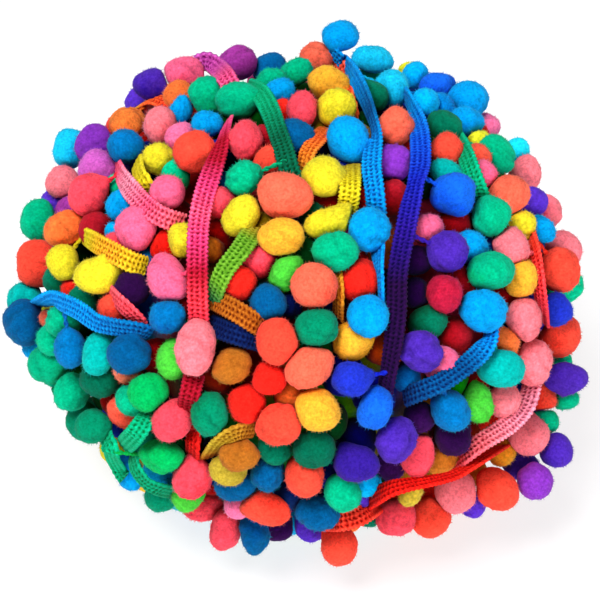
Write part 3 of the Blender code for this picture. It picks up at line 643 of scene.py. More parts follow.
def dye_colour(name):
    """An sRGB dye as the linear colour that a shader takes."""
    code = DYES[name]
    shares = [(code >> shift & 255) / 255 for shift in (16, 8, 0)]
    return np.array([s / 12.92 if s <= 0.04045 else ((s + 0.055) / 1.055) ** 2.4 for s in shares])


def blend_dyes(names, share):
    """The dye at a share of the way along a run of dyes, where one changes to the next."""
    spot = min(max(share, 0.0), 1.0) * (len(names) - 1)
    first = min(int(spot), len(names) - 2) if len(names) > 1 else 0
    last = min(first + 1, len(names) - 1)
    part = spot - first
    return dye_colour(names[first]) * (1 - part) + dye_colour(names[last]) * part


def darker_richer(colour, depth):
    """A dye made darker and more saturated: painted shade where most calls use it, while the mottling dyes
    and the stems are only darker.
    """
    strongest = colour.max(axis=-1, keepdims=True)
    return colour * (colour / strongest) ** depth * (1 - STEP_DARKENS * depth)


def squeeze(vector, depth):
    """Space squeezed so that the form `depth` below the ball's outside has radius 1."""
    return Vector([value / (half - depth) for value, half in zip(vector, BALL_HALF)])


def outward(point):
    """The ball's outward direction at a point."""
    slope = [value / half ** 2 for value, half in zip(point - BALL_MIDDLE, BALL_HALF)]
    return Vector(slope).normalized()


def on_form(direction, depth):
    """The point `depth` below the ball's outside in a direction from its middle."""
    return BALL_MIDDLE + direction / squeeze(direction, depth).length


def chart_eye():
    """Where the eye of the chart is, from the ball's middle."""
    return Vector((0, -math.cos(CHART_RISE), math.sin(CHART_RISE))) * CHART_EYE


def chart_spot(place, depth):
    """The point at a place of the chart, `depth` below the ball's outside, and its line of sight.

    Past the ball's outline it is the nearest point of that line.
    """
    right, up = place
    eye = chart_eye()
    aim = Vector((right, up * math.sin(CHART_RISE), up * math.cos(CHART_RISE))) * MM
    sight = (aim - eye).normalized()
    start, run = squeeze(eye, depth), squeeze(sight, depth)
    nearest = -start.dot(run) / run.dot(run)
    miss = (start + run * nearest).length_squared
    reach = nearest - math.sqrt(max(0.0, 1.0 - miss) / run.dot(run))
    return BALL_MIDDLE + eye + sight * reach, sight


def sphere_direction(azimuth, height):
    """A direction from its azimuth and its height angle, both in degrees."""
    azimuth, height = math.radians(azimuth), math.radians(height)
    flat = Vector((math.cos(azimuth), math.sin(azimuth), 0.0))
    return flat * math.cos(height) + Vector((0.0, 0.0, math.sin(height)))


def smooth_route(knots, step):
    """Points on a smooth curve (Catmull-Rom) through knots, which are vectors or rows of numbers.

    They are about `step` apart in their first three numbers, and the other numbers go with them.
    """
    ends = [knots[0] * 2 - knots[1], *knots, knots[-1] * 2 - knots[-2]]
    route = []
    for before, start, end, after in zip(ends, ends[1:], ends[2:], ends[3:]):
        pieces = max(2, round(float(np.linalg.norm((end - start)[:3])) / step))
        for piece in range(pieces):
            t = piece / pieces
            route.append(
                (start * 2 + (end - before) * t + (before * 2 - start * 5 + end * 4 - after) * t ** 2
                 + (start * 3 - before - end * 3 + after) * t ** 3) * 0.5
            )
    return route + [knots[-1]]


def rises(points):
    """How far each point of a loose tape stands above its route, or below it.

    It bows up a little along its middle and dives in at both ends.
    """
    run = [0.0]
    for start, end in zip(points, points[1:]):
        run.append(run[-1] + (end - start).length)
    lifts = []
    for along in run:
        to_end = min(along, run[-1] - along)
        dive = TAPE_DIVE * max(0.0, 1 - to_end / DIVE_LENGTH) ** 2
        lifts.append(TAPE_LIFT * math.sin(math.pi * along / run[-1]) - dive)
    return lifts


def chart_tape(tape, depth=TAPE_DEPTH):
    """The sections of a front tape. Its route keeps to its place on the chart as it bows and dives."""
    knots = [Vector((right, up, 0, math.radians(roll))) for right, up, roll in tape]
    route = smooth_route(knots, TAPE_STEP / MM)
    lifts = rises([chart_spot(knot.xy, depth)[0] for knot in route])
    spots = [chart_spot(knot.xy, depth - lift) for knot, lift in zip(route, lifts)]
    points, fronts = [spot for spot, _ in spots], [-sight for _, sight in spots]
    return tape_sections(points, fronts, [knot.w for knot in route])


def arc_tape(row):
    """The sections of an arc length's tape: a great circle that bends steadily sideways."""
    direction = sphere_direction(row.azimuth, row.height)
    east = Vector((0, 0, 1)).cross(direction).normalized()
    north = direction.cross(east)
    heading = math.radians(row.heading)
    ahead = east * math.cos(heading) + north * math.sin(heading)
    steps = round(row.arc / TAPE_STEP)
    turn = math.radians(row.bend) / steps
    route = [on_form(direction, TAPE_DEPTH)]
    for _ in range(steps):
        reach = (route[-1] - BALL_MIDDLE).length
        turned = Matrix.Rotation(TAPE_STEP / reach, 3, direction.cross(ahead))
        direction, ahead = turned @ direction, turned @ ahead
        ahead = Matrix.Rotation(turn, 3, direction) @ ahead
        route.append(on_form(direction, TAPE_DEPTH))
    points = [point + outward(point) * lift for point, lift in zip(route, rises(route))]
    return tape_sections(points, [outward(point) for point in points], [0.0] * len(points))


def tape_sections(points, fronts, rolls):
    """A tape's sections: each has its middle, its direction across and its face's direction.

    The face looks the way that fronts gives, but for its roll about the tape's run.
    """
    last = len(points) - 1
    sections = []
    for number, (point, front, roll) in enumerate(zip(points, fronts, rolls)):
        ahead = (points[min(number + 1, last)] - points[max(number - 1, 0)]).normalized()
        across = Matrix.Rotation(roll, 3, ahead) @ ahead.cross(front).normalized()
        sections.append((point, across, across.cross(ahead)))
    return sections


def nearest_section(point, sections):
    return min(sections, key=lambda section: (section[0] - point).length_squared)


def draw_to_tape(middle, sight, sections):
    """Slides a pompom along the line of sight, towards the eye, until its stem can reach the tape."""
    while (middle - nearest_section(middle, sections)[0]).length > STEM_MOST:
        nearer = middle - sight * SLIDE_STEP
        root = nearest_section(nearer, sections)[0]
        if (nearer - root).length >= (middle - root).length:
            break
        middle = nearer
    return middle


def arc_pompoms(sections):
    """Where an arc length's pompoms start from: at an even pitch, on alternate sides."""
    length = sum((b[0] - a[0]).length for a, b in zip(sections, sections[1:]))
    count = int(length / ARC_PITCH)
    starts = []
    for number in range(count):
        middle, across, _ = sections[round((number + 0.5) / count * (len(sections) - 1))]
        side = 1 if number % 2 else -1
        beside = (middle + across * side * POMPOM_SIDE - BALL_MIDDLE).normalized()
        starts.append(on_form(beside, POMPOM_RADIUS))
    return starts


def lay_lengths():
    """Every loose length's row and its tape's sections."""
    laid = [(row, chart_tape(row.tape)) for row in FRONT_LENGTHS]
    return laid + [(row, arc_tape(row)) for row in ARC_LENGTHS]


def crowding(places, others, room, share=1.0):
    """How far each place has to move so that it has its room from the others.

    The share says how much of what a pair lacks the place takes.
    """
    apart = places[:, None, :] - others[None, :, :]
    distance = np.linalg.norm(apart, axis=2)
    itself = distance < TOUCHING
    shortfall = np.where(itself, 0.0, np.maximum(0.0, room - distance)) * share
    return (apart * (shortfall / np.where(itself, 1.0, distance))[:, :, None]).sum(axis=1)


def golden_directions(count):
    """Directions spread evenly over the whole sphere, on a golden spiral."""
    golden = math.pi * (3 - math.sqrt(5))
    directions = []
    for number in range(count):
        rise = 1 - 2 * (number + 0.5) / count
        girth = math.sqrt(1 - rise ** 2)
        turn = golden * number
        directions.append(Vector((girth * math.cos(turn), girth * math.sin(turn), rise)))
    return directions


def tape_points(tapes):
    """Points over the tapes' faces, apart from the ends, which the pompoms may hide."""
    points = []
    for sections in tapes:
        for middle, across, _ in sections[1:-1]:
            points += [middle + across * (TAPE_WIDTH * share) for share in TAPE_LINES]
    return np.array(points)


def settle(rows, tapes):
    """Pompoms pushed off each other and off the tapes: their middles, in the rows' order.

    A row is (middle, way in, radius, layer). Each pompom may move freely along its way in, lower
    layers more than upper ones, and a little to its sides.
    """
    starts, ways = np.array([row[0] for row in rows]), np.array([row[1] for row in rows])
    radii, layers = np.array([row[2] for row in rows]), np.array([row[3] for row in rows])
    yields = (layers[:, None] + 1.0) / (layers[:, None] + layers[None, :] + 2.0)
    strip = tape_points(tapes)
    places = starts.copy()
    for _ in range(SETTLE_ROUNDS):
        push = crowding(places, places, PRESSED * (radii[:, None] + radii[None, :]), yields)
        push = push + crowding(places, strip, PRESSED_ON_TAPE * radii[:, None] + TAPE_THICKNESS / 2)
        moved = places + push * SETTLE_SHARE - starts
        depth = (moved * ways).sum(axis=1, keepdims=True)
        aside = (moved - ways * depth) * SIDE_PULL
        reach = np.linalg.norm(aside, axis=1, keepdims=True)
        aside = aside * np.minimum(1.0, SIDE_MOST / np.maximum(reach, TOUCHING))
        places = starts + ways * np.clip(depth * DEPTH_PULL, -RISE_MOST, SINK_MOST) + aside
    return places


def look(place, size, draw):
    """A pompom's middle, way in, radius, stretch and axis from how it looks on the chart."""
    middle, way = chart_spot(place, POMPOM_RADIUS)
    nearness = (BALL_MIDDLE + chart_eye() - middle).length / CHART_EYE
    length = size[0] if size else draw.uniform(*USUAL_LENGTHS)
    width, lean = size[1:] if len(size) > 1 else (length, 0)
    lean = math.radians(lean)
    tall = math.sin(lean)
    axis = Vector((math.cos(lean), tall * math.sin(CHART_RISE), tall * math.cos(CHART_RISE)))
    return middle, way, math.sqrt(length * width) / 2 * MM * nearness, length / width, axis


def placed_by_hand(lengths, draw):
    """The pompoms that the tables place: those of the loose lengths and of the front's turns."""
    rows = []
    pompoms = []
    for row, sections in lengths:
        charted = row in FRONT_LENGTHS
        for number, spot in enumerate(row.pompoms if charted else arc_pompoms(sections)):
            if charted:
                spot, way, radius, stretch, axis = look(spot[:2], spot[2:], draw)
                spot = draw_to_tape(spot, way, sections)
            else:
                way, stretch, axis = -outward(spot), 1.0, Vector((0, 0, 1))
                radius = POMPOM_RADIUS * draw.uniform(*ARC_SIZES)
            root = nearest_section(spot, sections)
            share = sections.index(root) / (len(sections) - 1)
            dyes = [row.tufts.split()[number]] if charted else row.dyes.split()
            top, under = blend_dyes(dyes, share), blend_dyes(dyes, share + UNDER_AHEAD)
            # Painted shade darkens the underside's dye, the next one of the run
            under = darker_richer(under, UNDER_PAINTED_SHADE)
            cuts = FINE_CUTS if charted else SIDE_CUTS
            rows.append((spot, way, radius, 0))
            pompoms.append(Pompom(spot, radius, stretch, axis, top, under, root[0], cuts, row.name))
    for dye, places in FRONT_TURNS.items():
        for right, up, layer, *size in places:
            spot, way, radius, stretch, axis = look((right, up), size, draw)
            spot = spot + way * LAYER_BACK[layer]
            # Painted light: the yarn of the layers further in is made lighter
            top = np.minimum(dye_colour(dye) * LAYER_PAINTED_LIGHT[layer], 1.0)
            # The underside's dye is its own, darker only as painted shade
            under = darker_richer(top, UNDER_PAINTED_SHADE)
            cuts = LAYER_CUTS[layer]
            rows.append((spot, way, radius, layer))
            pompoms.append(Pompom(spot, radius, stretch, axis, top, under, None, cuts, "front_turns"))
    placed = []
    kept = np.empty((0, 3))
    for pompom, place in zip(pompoms, settle(rows, [sections for _, sections in lengths])):
        if len(kept) and np.linalg.norm(kept - place, axis=1).min() < LEAST_APART:
            continue
        kept = np.append(kept, [place], axis=0)
        middle = Vector(place)
        middle.z = max(middle.z, pompom.radius * FLATTEST)
        placed.append(pompom._replace(middle=middle))
    return placed


def other_turns(placed, tapes):
    """Middles of the outer turns' pompoms where the chart doesn't reach, evenly spread."""
    strip = [section[0] for sections in tapes for section in sections]
    starts = []
    for direction in golden_directions(OUTER_COUNT):
        spot = on_form(direction, POMPOM_RADIUS)
        to_eye = (BALL_MIDDLE + chart_eye() - spot).normalized()
        if outward(spot).dot(to_eye) > CHARTED_FACING:
            continue
        if any((spot - other).length < OUTER_START * POMPOM_RADIUS for other in placed):
            continue
        if all((spot - point).length > OUTER_TO_TAPE for point in strip):
            starts.append(spot)
    places = np.array(starts)
    fixed = np.array(placed + strip)
    room = np.array([OUTER_SPACING] * len(placed) + [OUTER_TO_TAPE] * len(strip))
    for _ in range(SPREAD_ROUNDS):
        push = crowding(places, places, OUTER_SPACING) / 2 + crowding(places, fixed, room)
        places = places + push
        places = np.array([on_form(Vector(place) - BALL_MIDDLE, POMPOM_RADIUS) for place in places])
    kept = []
    for place in places:
        spot = Vector(place)
        if all((spot - other).length > OUTER_LEAST for other in kept + placed):
            kept.append(spot)
    return kept


def turn_dyes(direction, draw):
    """The dyes of a pompom of the other sides, from the turn of the trim that it belongs to.

    The turns run round the ball on great circles, each at another place of the run of dyes.
    """
    def off(turn):
        number, pole = turn
        return abs(direction.dot(pole)) + TURN_RANK * number

    number, pole = min(enumerate(golden_directions(TURN_POLES)), key=off)
    start = pole.orthogonal()
    angle = math.atan2(direction.dot(pole.cross(start)), direction.dot(start))
    phase = number * TURN_JUMP + angle / math.tau * DYES_A_TURN + draw.uniform(-DYE_STRAY, DYE_STRAY)
    spot = phase % 1.0 * len(RAINBOW)
    first = int(spot)
    names = [RAINBOW[(first + after) % len(RAINBOW)] for after in range(3)]
    return blend_dyes(names, (spot - first) / 2), blend_dyes(names, 0.5 + (spot - first) / 2)


# Meshes are put together from parts: points, triangles, for each point its dye, the dye that it
# is mottled with and how light it is made, which is mostly painted light and shade, and the number of the
# material.
Part = namedtuple("Part", "points faces dyes unders tones material")


def ball_mesh(cuts):
    """Unit directions and triangles of an icosahedron whose edges are cut into so many parts."""
    bm = bmesh.new()
    bmesh.ops.create_icosphere(bm, subdivisions=1, radius=1.0)
    bmesh.ops.subdivide_edges(bm, edges=bm.edges, cuts=cuts - 1, use_grid_fill=True)
    bmesh.ops.triangulate(bm, faces=bm.faces)
    bm.verts.index_update()
    points = np.array([vert.co.normalized() for vert in bm.verts])
    faces = np.array([[vert.index for vert in face.verts] for face in bm.faces])
    bm.free()
    return points, faces


def random_turn(draw):
    """A random rotation, as the three rows of its matrix."""
    turn, _ = np.linalg.qr(draw.normal(size=(3, 3)))
    return turn * np.sign(np.linalg.det(turn))


def unit(vectors):
    return vectors / np.linalg.norm(vectors, axis=-1, keepdims=True)


def soft_least(first, second, blend):
    """The lesser of two lengths, rounded over where they cross."""
    low, high = np.minimum(first, second), np.maximum(first, second)
    return low - blend * np.log1p(np.exp((low - high) / blend))


def pick(odds, draw):
    """One of the values, where the table says how often each comes up."""
    return draw.choice(list(odds), p=list(odds.values()))


def pompom_part(pompom, neighbours, balls, draw):
    """A tuft: a rounded ball that lobes, creases and its neighbours' pressure make uneven."""
    directions, faces = balls[pompom.cuts]
    aims = directions @ random_turn(draw)
    middle = np.array(pompom.middle)
    out = np.array(outward(pompom.middle))

    # Trimmed by hand: not quite round, and a little square
    axes = random_turn(draw)
    local = np.abs(aims @ axes) / draw.uniform(*HALF_WIDTHS, 3)
    power = pick(SQUARENESS, draw)
    reach = (local ** power).sum(axis=1) ** (-1 / power)
    reach = reach / reach.mean()
    along = (aims @ np.array(pompom.axis)) ** 2
    reach = reach / np.sqrt(along / pompom.stretch + (1 - along) * pompom.stretch)
    tone = np.ones(len(aims))

    # Low lobes, where strands of yarn bunch up
    for _ in range(LOBES):
        wave = unit(draw.normal(size=3)) * draw.uniform(*LOBE_WAVES)
        reach = reach + draw.uniform(*LOBE_HEIGHTS) * np.cos(aims @ wave + draw.uniform(0, math.tau))

    # Furrows, where the tuft parts
    for _ in range(draw.integers(1, FURROWS_MOST + 1)):
        across, along = random_turn(draw)[:2]
        bend = FURROW_SWAY * np.sin(aims @ unit(draw.normal(size=3)) * FURROW_WAVE)
        off = (aims @ across) - draw.uniform(*FURROW_PLACES) + bend
        furrow = np.exp(-(off / draw.uniform(*FURROW_WIDTHS)) ** 2)
        furrow = furrow * np.clip(0.5 + aims @ along, 0, 1)
        depth = draw.uniform(*FURROW_DEPTHS)
        reach = reach - depth * furrow
        # Painted shade in the furrow
        tone = tone - FURROW_SHADE * depth * furrow

    # Yarn ends, in clumps
    rough = np.zeros(len(aims))
    for _ in range(CLUMP_COUNT):
        wave = unit(draw.normal(size=3)) * draw.uniform(*CLUMP_WAVES)
        start = draw.uniform(0, math.tau)
        rough = rough + np.cos(aims @ wave + start + CLUMP_SWAY * np.sin(aims @ wave[::-1] * 0.5))
    crinkle = pick(CRINKLES, draw)
    frayed = draw.normal(size=len(aims))
    reach = reach + crinkle * rough / CLUMP_SUM + FRAY * frayed
    # Painted light and shade: raised clumps and ends that stick out are lighter, hollows darker
    tone = tone + CRINKLE_SHADE * crinkle * rough / CLUMP_SUM + FRAY_SHADE * frayed

    # A tuft is drawn out to a point where it is tied to its stem
    if pompom.stem is None:
        to_stem = unit(draw.normal(size=3) * STEM_STRAY - STEM_INWARD * out)
    else:
        to_stem = unit(np.array(pompom.stem) - middle)
    reach = reach + draw.uniform(0.0, POINT_MOST) * np.exp(-(1 - aims @ to_stem) / POINT_SPREAD)

    # Its neighbours press it flat where they touch
    reach = reach * pompom.radius
    for other, other_radius in neighbours:
        apart = other - middle
        distance = np.linalg.norm(apart)
        facing = aims @ (apart / distance)
        plane = distance * pompom.radius / (pompom.radius + other_radius) - TUFT_GAP
        limit = np.where(facing > PRESSED_FACING, plane / np.maximum(facing, PRESSED_FACING), UNPRESSED)
        pressed = soft_least(reach, limit, PRESSED_EDGE)
        # Painted shade where the neighbour presses it
        tone = tone - np.clip((reach - pressed) / PRESSED_RUN, 0, PRESSED_SHADE_MOST)
        reach = pressed
    points = middle + aims * reach[:, None]
    points[:, 2] = np.maximum(points[:, 2], TUFT_FLOOR)

    # Painted shade: what lies deep between the turns is made darker
    painted_shade_depth = 1 - np.linalg.norm((points - np.array(BALL_MIDDLE)) / np.array(BALL_HALF), axis=1)
    painted_shade_depth = np.clip((painted_shade_depth * BALL_HALF.x - SHADE_FROM) / (SHADE_TO - SHADE_FROM), 0, 1)
    tone = tone * (1 - SHADE_MOST * painted_shade_depth)

    # The dye runs on towards the under dye on the underside, which is painted shade over the next dye of the
    # run where the tuft has one
    down = unit(draw.normal(size=3) * DOWN_STRAY - out - np.array([0, 0, DOWN_SHARE]))
    run = (aims @ down + RUN_CLUMPS * rough / CLUMP_SUM) * RUN_SLOPE + draw.uniform(*RUN_STARTS)
    run = np.clip(run, 0, 1)[:, None] ** RUN_POWER
    share = draw.uniform(*RUN_MOST)
    dyes = pompom.top[None, :] * (1 - run * share) + pompom.under[None, :] * run * share
    # Painted shade: deep between the turns the dye, and the dye that mottles it, are darker and more
    # saturated
    dyes = darker_richer(dyes, painted_shade_depth[:, None])
    unders = dyes * 0.5 + darker_richer(pompom.under[None, :], painted_shade_depth[:, None]) * 0.5
    return Part(points, faces, dyes, unders, np.clip(tone, *TUFT_TONES), TUFT)


def fuzz_part(tuft, middle, count, draw):
    """Fibres that stand out of a tuft: slim closed spikes, rooted just under its surface.

    Most of them are on its outer side, because the inner one is pressed into the ball.
    """
    corners = tuft.points[tuft.faces]
    edges = corners[:, 1:] - corners[:, :1]
    spread = np.linalg.norm(np.cross(edges[:, 0], edges[:, 1]), axis=1)
    facing = unit(corners.mean(axis=1) - middle) @ np.array(outward(Vector(middle)))
    odds = spread * np.clip(facing + FIBRE_INNER, FIBRE_LEAST, 1.0)
    chosen = draw.choice(len(tuft.faces), count, p=odds / odds.sum())
    shares = draw.dirichlet((1, 1, 1), count)
    roots = (corners[chosen] * shares[:, :, None]).sum(axis=1)
    out = unit(roots - middle)
    lean = unit(out + FIBRE_LEAN * draw.normal(size=out.shape))
    length = draw.uniform(*FIBRE_LENGTHS, (count, 1))
    side = unit(np.cross(lean, draw.normal(size=out.shape)))
    other = np.cross(lean, side)
    foot = roots - out * FIBRE_ROOT
    tips = roots + lean * length
    tips[:, 2] = np.maximum(tips[:, 2], TUFT_FLOOR)
    turns = (0, math.tau / 3, 2 * math.tau / 3)
    spokes = [side * math.cos(turn) + other * math.sin(turn) for turn in turns]
    points = [foot + spoke * FIBRE_RADIUS for spoke in spokes] + [tips]
    points = np.stack(points, axis=1).reshape(-1, 3)
    spike = np.array([[0, 1, 3], [1, 2, 3], [2, 0, 3], [0, 2, 1]])
    each = len(FIBRE_SHADE)
    faces = (np.arange(count)[:, None, None] * each + spike[None, :, :]).reshape(-1, 3)
    nearest = tuft.faces[chosen, 0]
    dyes, unders = np.repeat(tuft.dyes[nearest], each, axis=0), np.repeat(tuft.unders[nearest], each, axis=0)
    # Each fibre takes the tuft's lightness with a random lightness of its own, painted shade at its roots
    # and painted light at its tip
    tones = tuft.tones[nearest, None] * draw.uniform(*FIBRE_TONES, (count, 1)) * np.array([FIBRE_SHADE])
    return Part(points, faces, dyes, unders, tones.ravel(), TUFT)


def even_sections(sections, step):
    """A tape's sections again, evenly spaced: middles, directions across and faces, and the run."""
    knots = np.array([np.concatenate([np.array(part) for part in section]) for section in sections])
    rows = np.array(smooth_route(knots, step))
    run = np.concatenate(([0], np.cumsum(np.linalg.norm(np.diff(rows[:, :3], axis=0), axis=1))))
    spots = np.arange(0, run[-1], step)
    rows = np.array([np.interp(spots, run, rows[:, column]) for column in range(9)]).T
    return rows[:, :3], unit(rows[:, 3:6]), unit(rows[:, 6:9]), spots


def knit_relief(across, stitches):
    """The knitted face, at shares across (-1 to 1) and stitches along: height, glint and shade.

    Wales of chained loops stand up a little, and the furrows between them have a deep eyelet at
    each stitch, so that the face looks like a fine net.
    """
    wale = (across + 1) / 2 * WALES
    number = np.clip(np.floor(wale), 0, WALES - 1)
    side = (wale - number) * 2 - 1
    uneven = sum(size * np.sin(stitches * ahead + number * aside) for size, ahead, aside in STITCH_SWAY)
    chain = np.sqrt(np.maximum(0, 1 - WALE_ROUND * side ** 2))
    loop = 0.5 + 0.5 * np.cos((stitches + uneven - LOOP_BOW * np.abs(side)) * math.tau)
    furrow = np.clip(np.round(wale), 1, WALES - 1)
    eyelet = np.exp(-((wale - furrow) / EYELET_WIDTH) ** 2)
    between = 0.5 + 0.5 * np.cos((stitches + uneven + EYELET_STAGGER * furrow) * math.tau)
    hollow = eyelet * between
    standing = chain * (1 - LOOP_RISE + LOOP_RISE * loop) - 0.5
    height = WALE_HEIGHT * standing - EYELET_DEPTH * hollow
    shade = BETWEEN_SHADE * eyelet + EYELET_SHADE * hollow ** EYELET_POWER + LOOP_SHADE * (1 - loop)
    return height, chain * (1 - LOOP_GLINT + LOOP_GLINT * loop), np.clip(shade, 0, 1)


def braid_part(sections, dyes, rows_a_stitch, draw):
    """The knitted braid: its relief on the face, scalloped edges and a plainer back."""
    middles, sides, tops, run = even_sections(sections, STITCH / rows_a_stitch)
    stitches = run / STITCH + draw.uniform(0, 1)
    columns = WALES * WALE_FACES + 1
    across = np.linspace(-1, 1, columns)
    height, glint, shade = knit_relief(across[None, :], stitches[:, None])
    half = TAPE_WIDTH / 2 + SCALLOP * np.cos(stitches * math.tau + SCALLOP_START)
    uneven = (WAVER * np.sin(run / WAVER_LENGTH + draw.uniform(0, math.tau)))[:, None]
    rounded = np.sqrt(np.maximum(0.0, 1 - across ** TAPE_SQUARE))
    face_rise = rounded[None, :] * (TAPE_THICKNESS / 2 + height) + uneven
    back_across = np.linspace(1, -1, BACK_FACES + 1)[1:-1]
    back_height = TAPE_THICKNESS / 2 * np.sqrt(1 - back_across ** TAPE_SQUARE)
    back_loop = 1 - BACK_LOOP + BACK_LOOP * np.cos(stitches * math.tau + BACK_START)
    back_rise = uneven - back_height[None, :] * back_loop[:, None]

    # A ring of points round each section: across its face, then back along its back
    lifts = np.concatenate((face_rise, back_rise), axis=1)[:, :, None]
    reaches = (np.concatenate((across, back_across))[None, :] * half[:, None])[:, :, None]
    points = middles[:, None, :] + sides[:, None, :] * reaches + tops[:, None, :] * lifts
    rows, ring = lifts.shape[:2]
    start = np.arange(rows - 1)[:, None] * ring + np.arange(ring)[None, :]
    beside = np.arange(rows - 1)[:, None] * ring + (np.arange(ring)[None, :] + 1) % ring
    faces = np.stack((start, beside, beside + ring, start + ring), axis=-1).reshape(-1, 4)
    ends = cap_faces(columns, ring, 0, False) + cap_faces(columns, ring, (rows - 1) * ring, True)
    faces = np.concatenate((split_quads(faces), np.array(ends)))

    # The back has no glint, and one shade all over
    plain = np.zeros((rows, len(back_across)))
    glint = np.concatenate((glint, plain), axis=1).reshape(-1, 1)
    shade = np.concatenate((shade, plain + BACK_SHADE), axis=1).reshape(-1, 1)
    colours = np.array([blend_dyes(dyes, share) for share in run / run[-1]])
    colours = np.repeat(colours[:, None, :], ring, axis=1).reshape(-1, 3)
    # Painted light and shade: the loops' tops are lighter, and the furrows, eyelets and back darker and more
    # saturated
    colours = darker_richer(colours, HOLLOW_PAINTED_SHADE * shade)
    tones = np.clip(BRAID_TONE + BRAID_GLINT * glint - BRAID_SHADE * shade, *BRAID_TONES).ravel()
    unders = darker_richer(colours, BRAID_UNDER_DEEPER)
    return Part(points.reshape(-1, 3), faces, colours, unders, tones, BRAID)


def cap_faces(columns, ring, first, turned):
    """Triangles that close the end of a braid between its face and its back."""
    top = list(range(columns))
    low = [0] + list(range(ring - 1, columns - 1, -1)) + [columns - 1]
    faces = []
    upper, lower = 0, 0
    while upper < len(top) - 1 or lower < len(low) - 1:
        if lower == len(low) - 1 or (upper < len(top) - 1 and upper / len(top) <= lower / len(low)):
            faces.append((top[upper], low[lower], top[upper + 1]))
            upper += 1
        else:
            faces.append((top[upper], low[lower], low[lower + 1]))
            lower += 1
    kept = [face for face in faces if len(set(face)) == 3]
    return [[first + corner for corner in (face[::-1] if turned else face)] for face in kept]


def split_quads(quads):
    return np.concatenate((quads[:, [0, 1, 2]], quads[:, [0, 2, 3]]))


def strand_part(start, end, colour, phase):
    """One strand of a stem's twisted pair, from the braid into the tuft."""
    way = end - start
    side = unit(np.cross(way, ANY_SIDE))
    other = unit(np.cross(way, side))
    length = np.linalg.norm(way)
    rows = max(STRAND_ROWS_LEAST, int(length / STRAND_STEP))
    points = []
    for share in np.linspace(0, 1, rows):
        turn = phase + share * length / STRAND_TWIST * math.tau
        spoke = side * math.cos(turn) + other * math.sin(turn)
        core = start + way * share + spoke * STRAND_RADIUS * STRAND_APART
        for corner in range(STRAND_SIDES):
            angle = corner / STRAND_SIDES * math.tau
            points.append(core + (side * math.cos(angle) + other * math.sin(angle)) * STRAND_RADIUS)
    ring = STRAND_SIDES
    quads = []
    for row in range(0, (rows - 1) * ring, ring):
        for corner in range(ring):
            following = (corner + 1) % ring
            quads.append([row + corner, row + following, row + ring + following, row + ring + corner])
    last = (rows - 1) * ring
    caps = [[0, corner + 1, corner] for corner in range(1, ring - 1)]
    caps += [[last, last + corner, last + corner + 1] for corner in range(1, ring - 1)]
    faces = np.concatenate((split_quads(np.array(quads)), np.array(caps)))
    colours = np.repeat(colour[None, :], len(points), axis=0)
    unders = darker_richer(colours, STRAND_UNDER_DEEPER)
    return Part(np.array(points), faces, colours, unders, np.full(len(points), STRAND_TONE), BRAID)


def build_piece(name, parts, materials, nodes):
    """One object out of its parts, on the body and in place of its CAD nodes."""
    faces = []
    base = 0
    for part in parts:
        faces.append(part.faces + base)
        base += len(part.points)
    numbers = np.concatenate([np.full(len(part.faces), part.material) for part in parts])
    mesh = bpy.data.meshes.new(name)
    mesh.from_pydata(np.concatenate([part.points for part in parts]), [], np.concatenate(faces))
    mesh.polygons.foreach_set("use_smooth", np.ones(len(numbers), dtype=bool))
    mesh.polygons.foreach_set("material_index", numbers.astype(np.int32))
    for kind, field in (("dye", "dyes"), ("under_dye", "unders")):
        values = np.concatenate([getattr(part, field) for part in parts])
        dye = mesh.attributes.new(kind, "FLOAT_VECTOR", "POINT")
        dye.data.foreach_set("vector", values.astype(np.float32).ravel())
    tone = mesh.attributes.new("tone", "FLOAT", "POINT")
    tone.data.foreach_set("value", np.concatenate([part.tones for part in parts]).astype(np.float32))
    for material in materials:
        mesh.materials.append(material)
    mesh.update()
    piece = bpy.data.objects.new(name, mesh)
    bpy.context.scene.collection.objects.link(piece)
    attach(piece, "root")
    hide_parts(*nodes)


def add_node(tree, kind, links, **settings):
    """Adds a node. Settings go to its properties, and links to its inputs: a value or an output."""
    node = tree.nodes.new(kind)
    for name, value in settings.items():
        setattr(node, name, value)
    for socket, value in links.items():
        if isinstance(value, bpy.types.NodeSocket):
            tree.links.new(value, node.inputs[socket])
        else:
            node.inputs[socket].default_value = value
    return node


def new_material(name):
    material = bpy.data.materials.new(name)
    material.use_nodes = True
    return material, material.node_tree, material.node_tree.nodes["Principled BSDF"]


def dyed_colour(tree, mask, level):
    """The dye, mottled with the one below it where the mask says, at a level of lightness."""
    dye = add_node(tree, "ShaderNodeAttribute", {}, attribute_name="dye").outputs["Vector"]
    under = add_node(tree, "ShaderNodeAttribute", {}, attribute_name="under_dye").outputs["Vector"]
    tone = add_node(tree, "ShaderNodeAttribute", {}, attribute_name="tone").outputs["Fac"]
    # Inputs 4 and 5 are the two vectors that the node mixes, and output 1 is what it makes of them
    mottled = add_node(tree, "ShaderNodeMix", {0: mask, 4: dye, 5: under}, data_type="VECTOR").outputs[1]
    level = add_node(tree, "ShaderNodeMath", {0: level, 1: tone}, operation="MULTIPLY").outputs[0]
    return add_node(tree, "ShaderNodeVectorMath", {0: mottled, "Scale": level}, operation="SCALE").outputs[0]


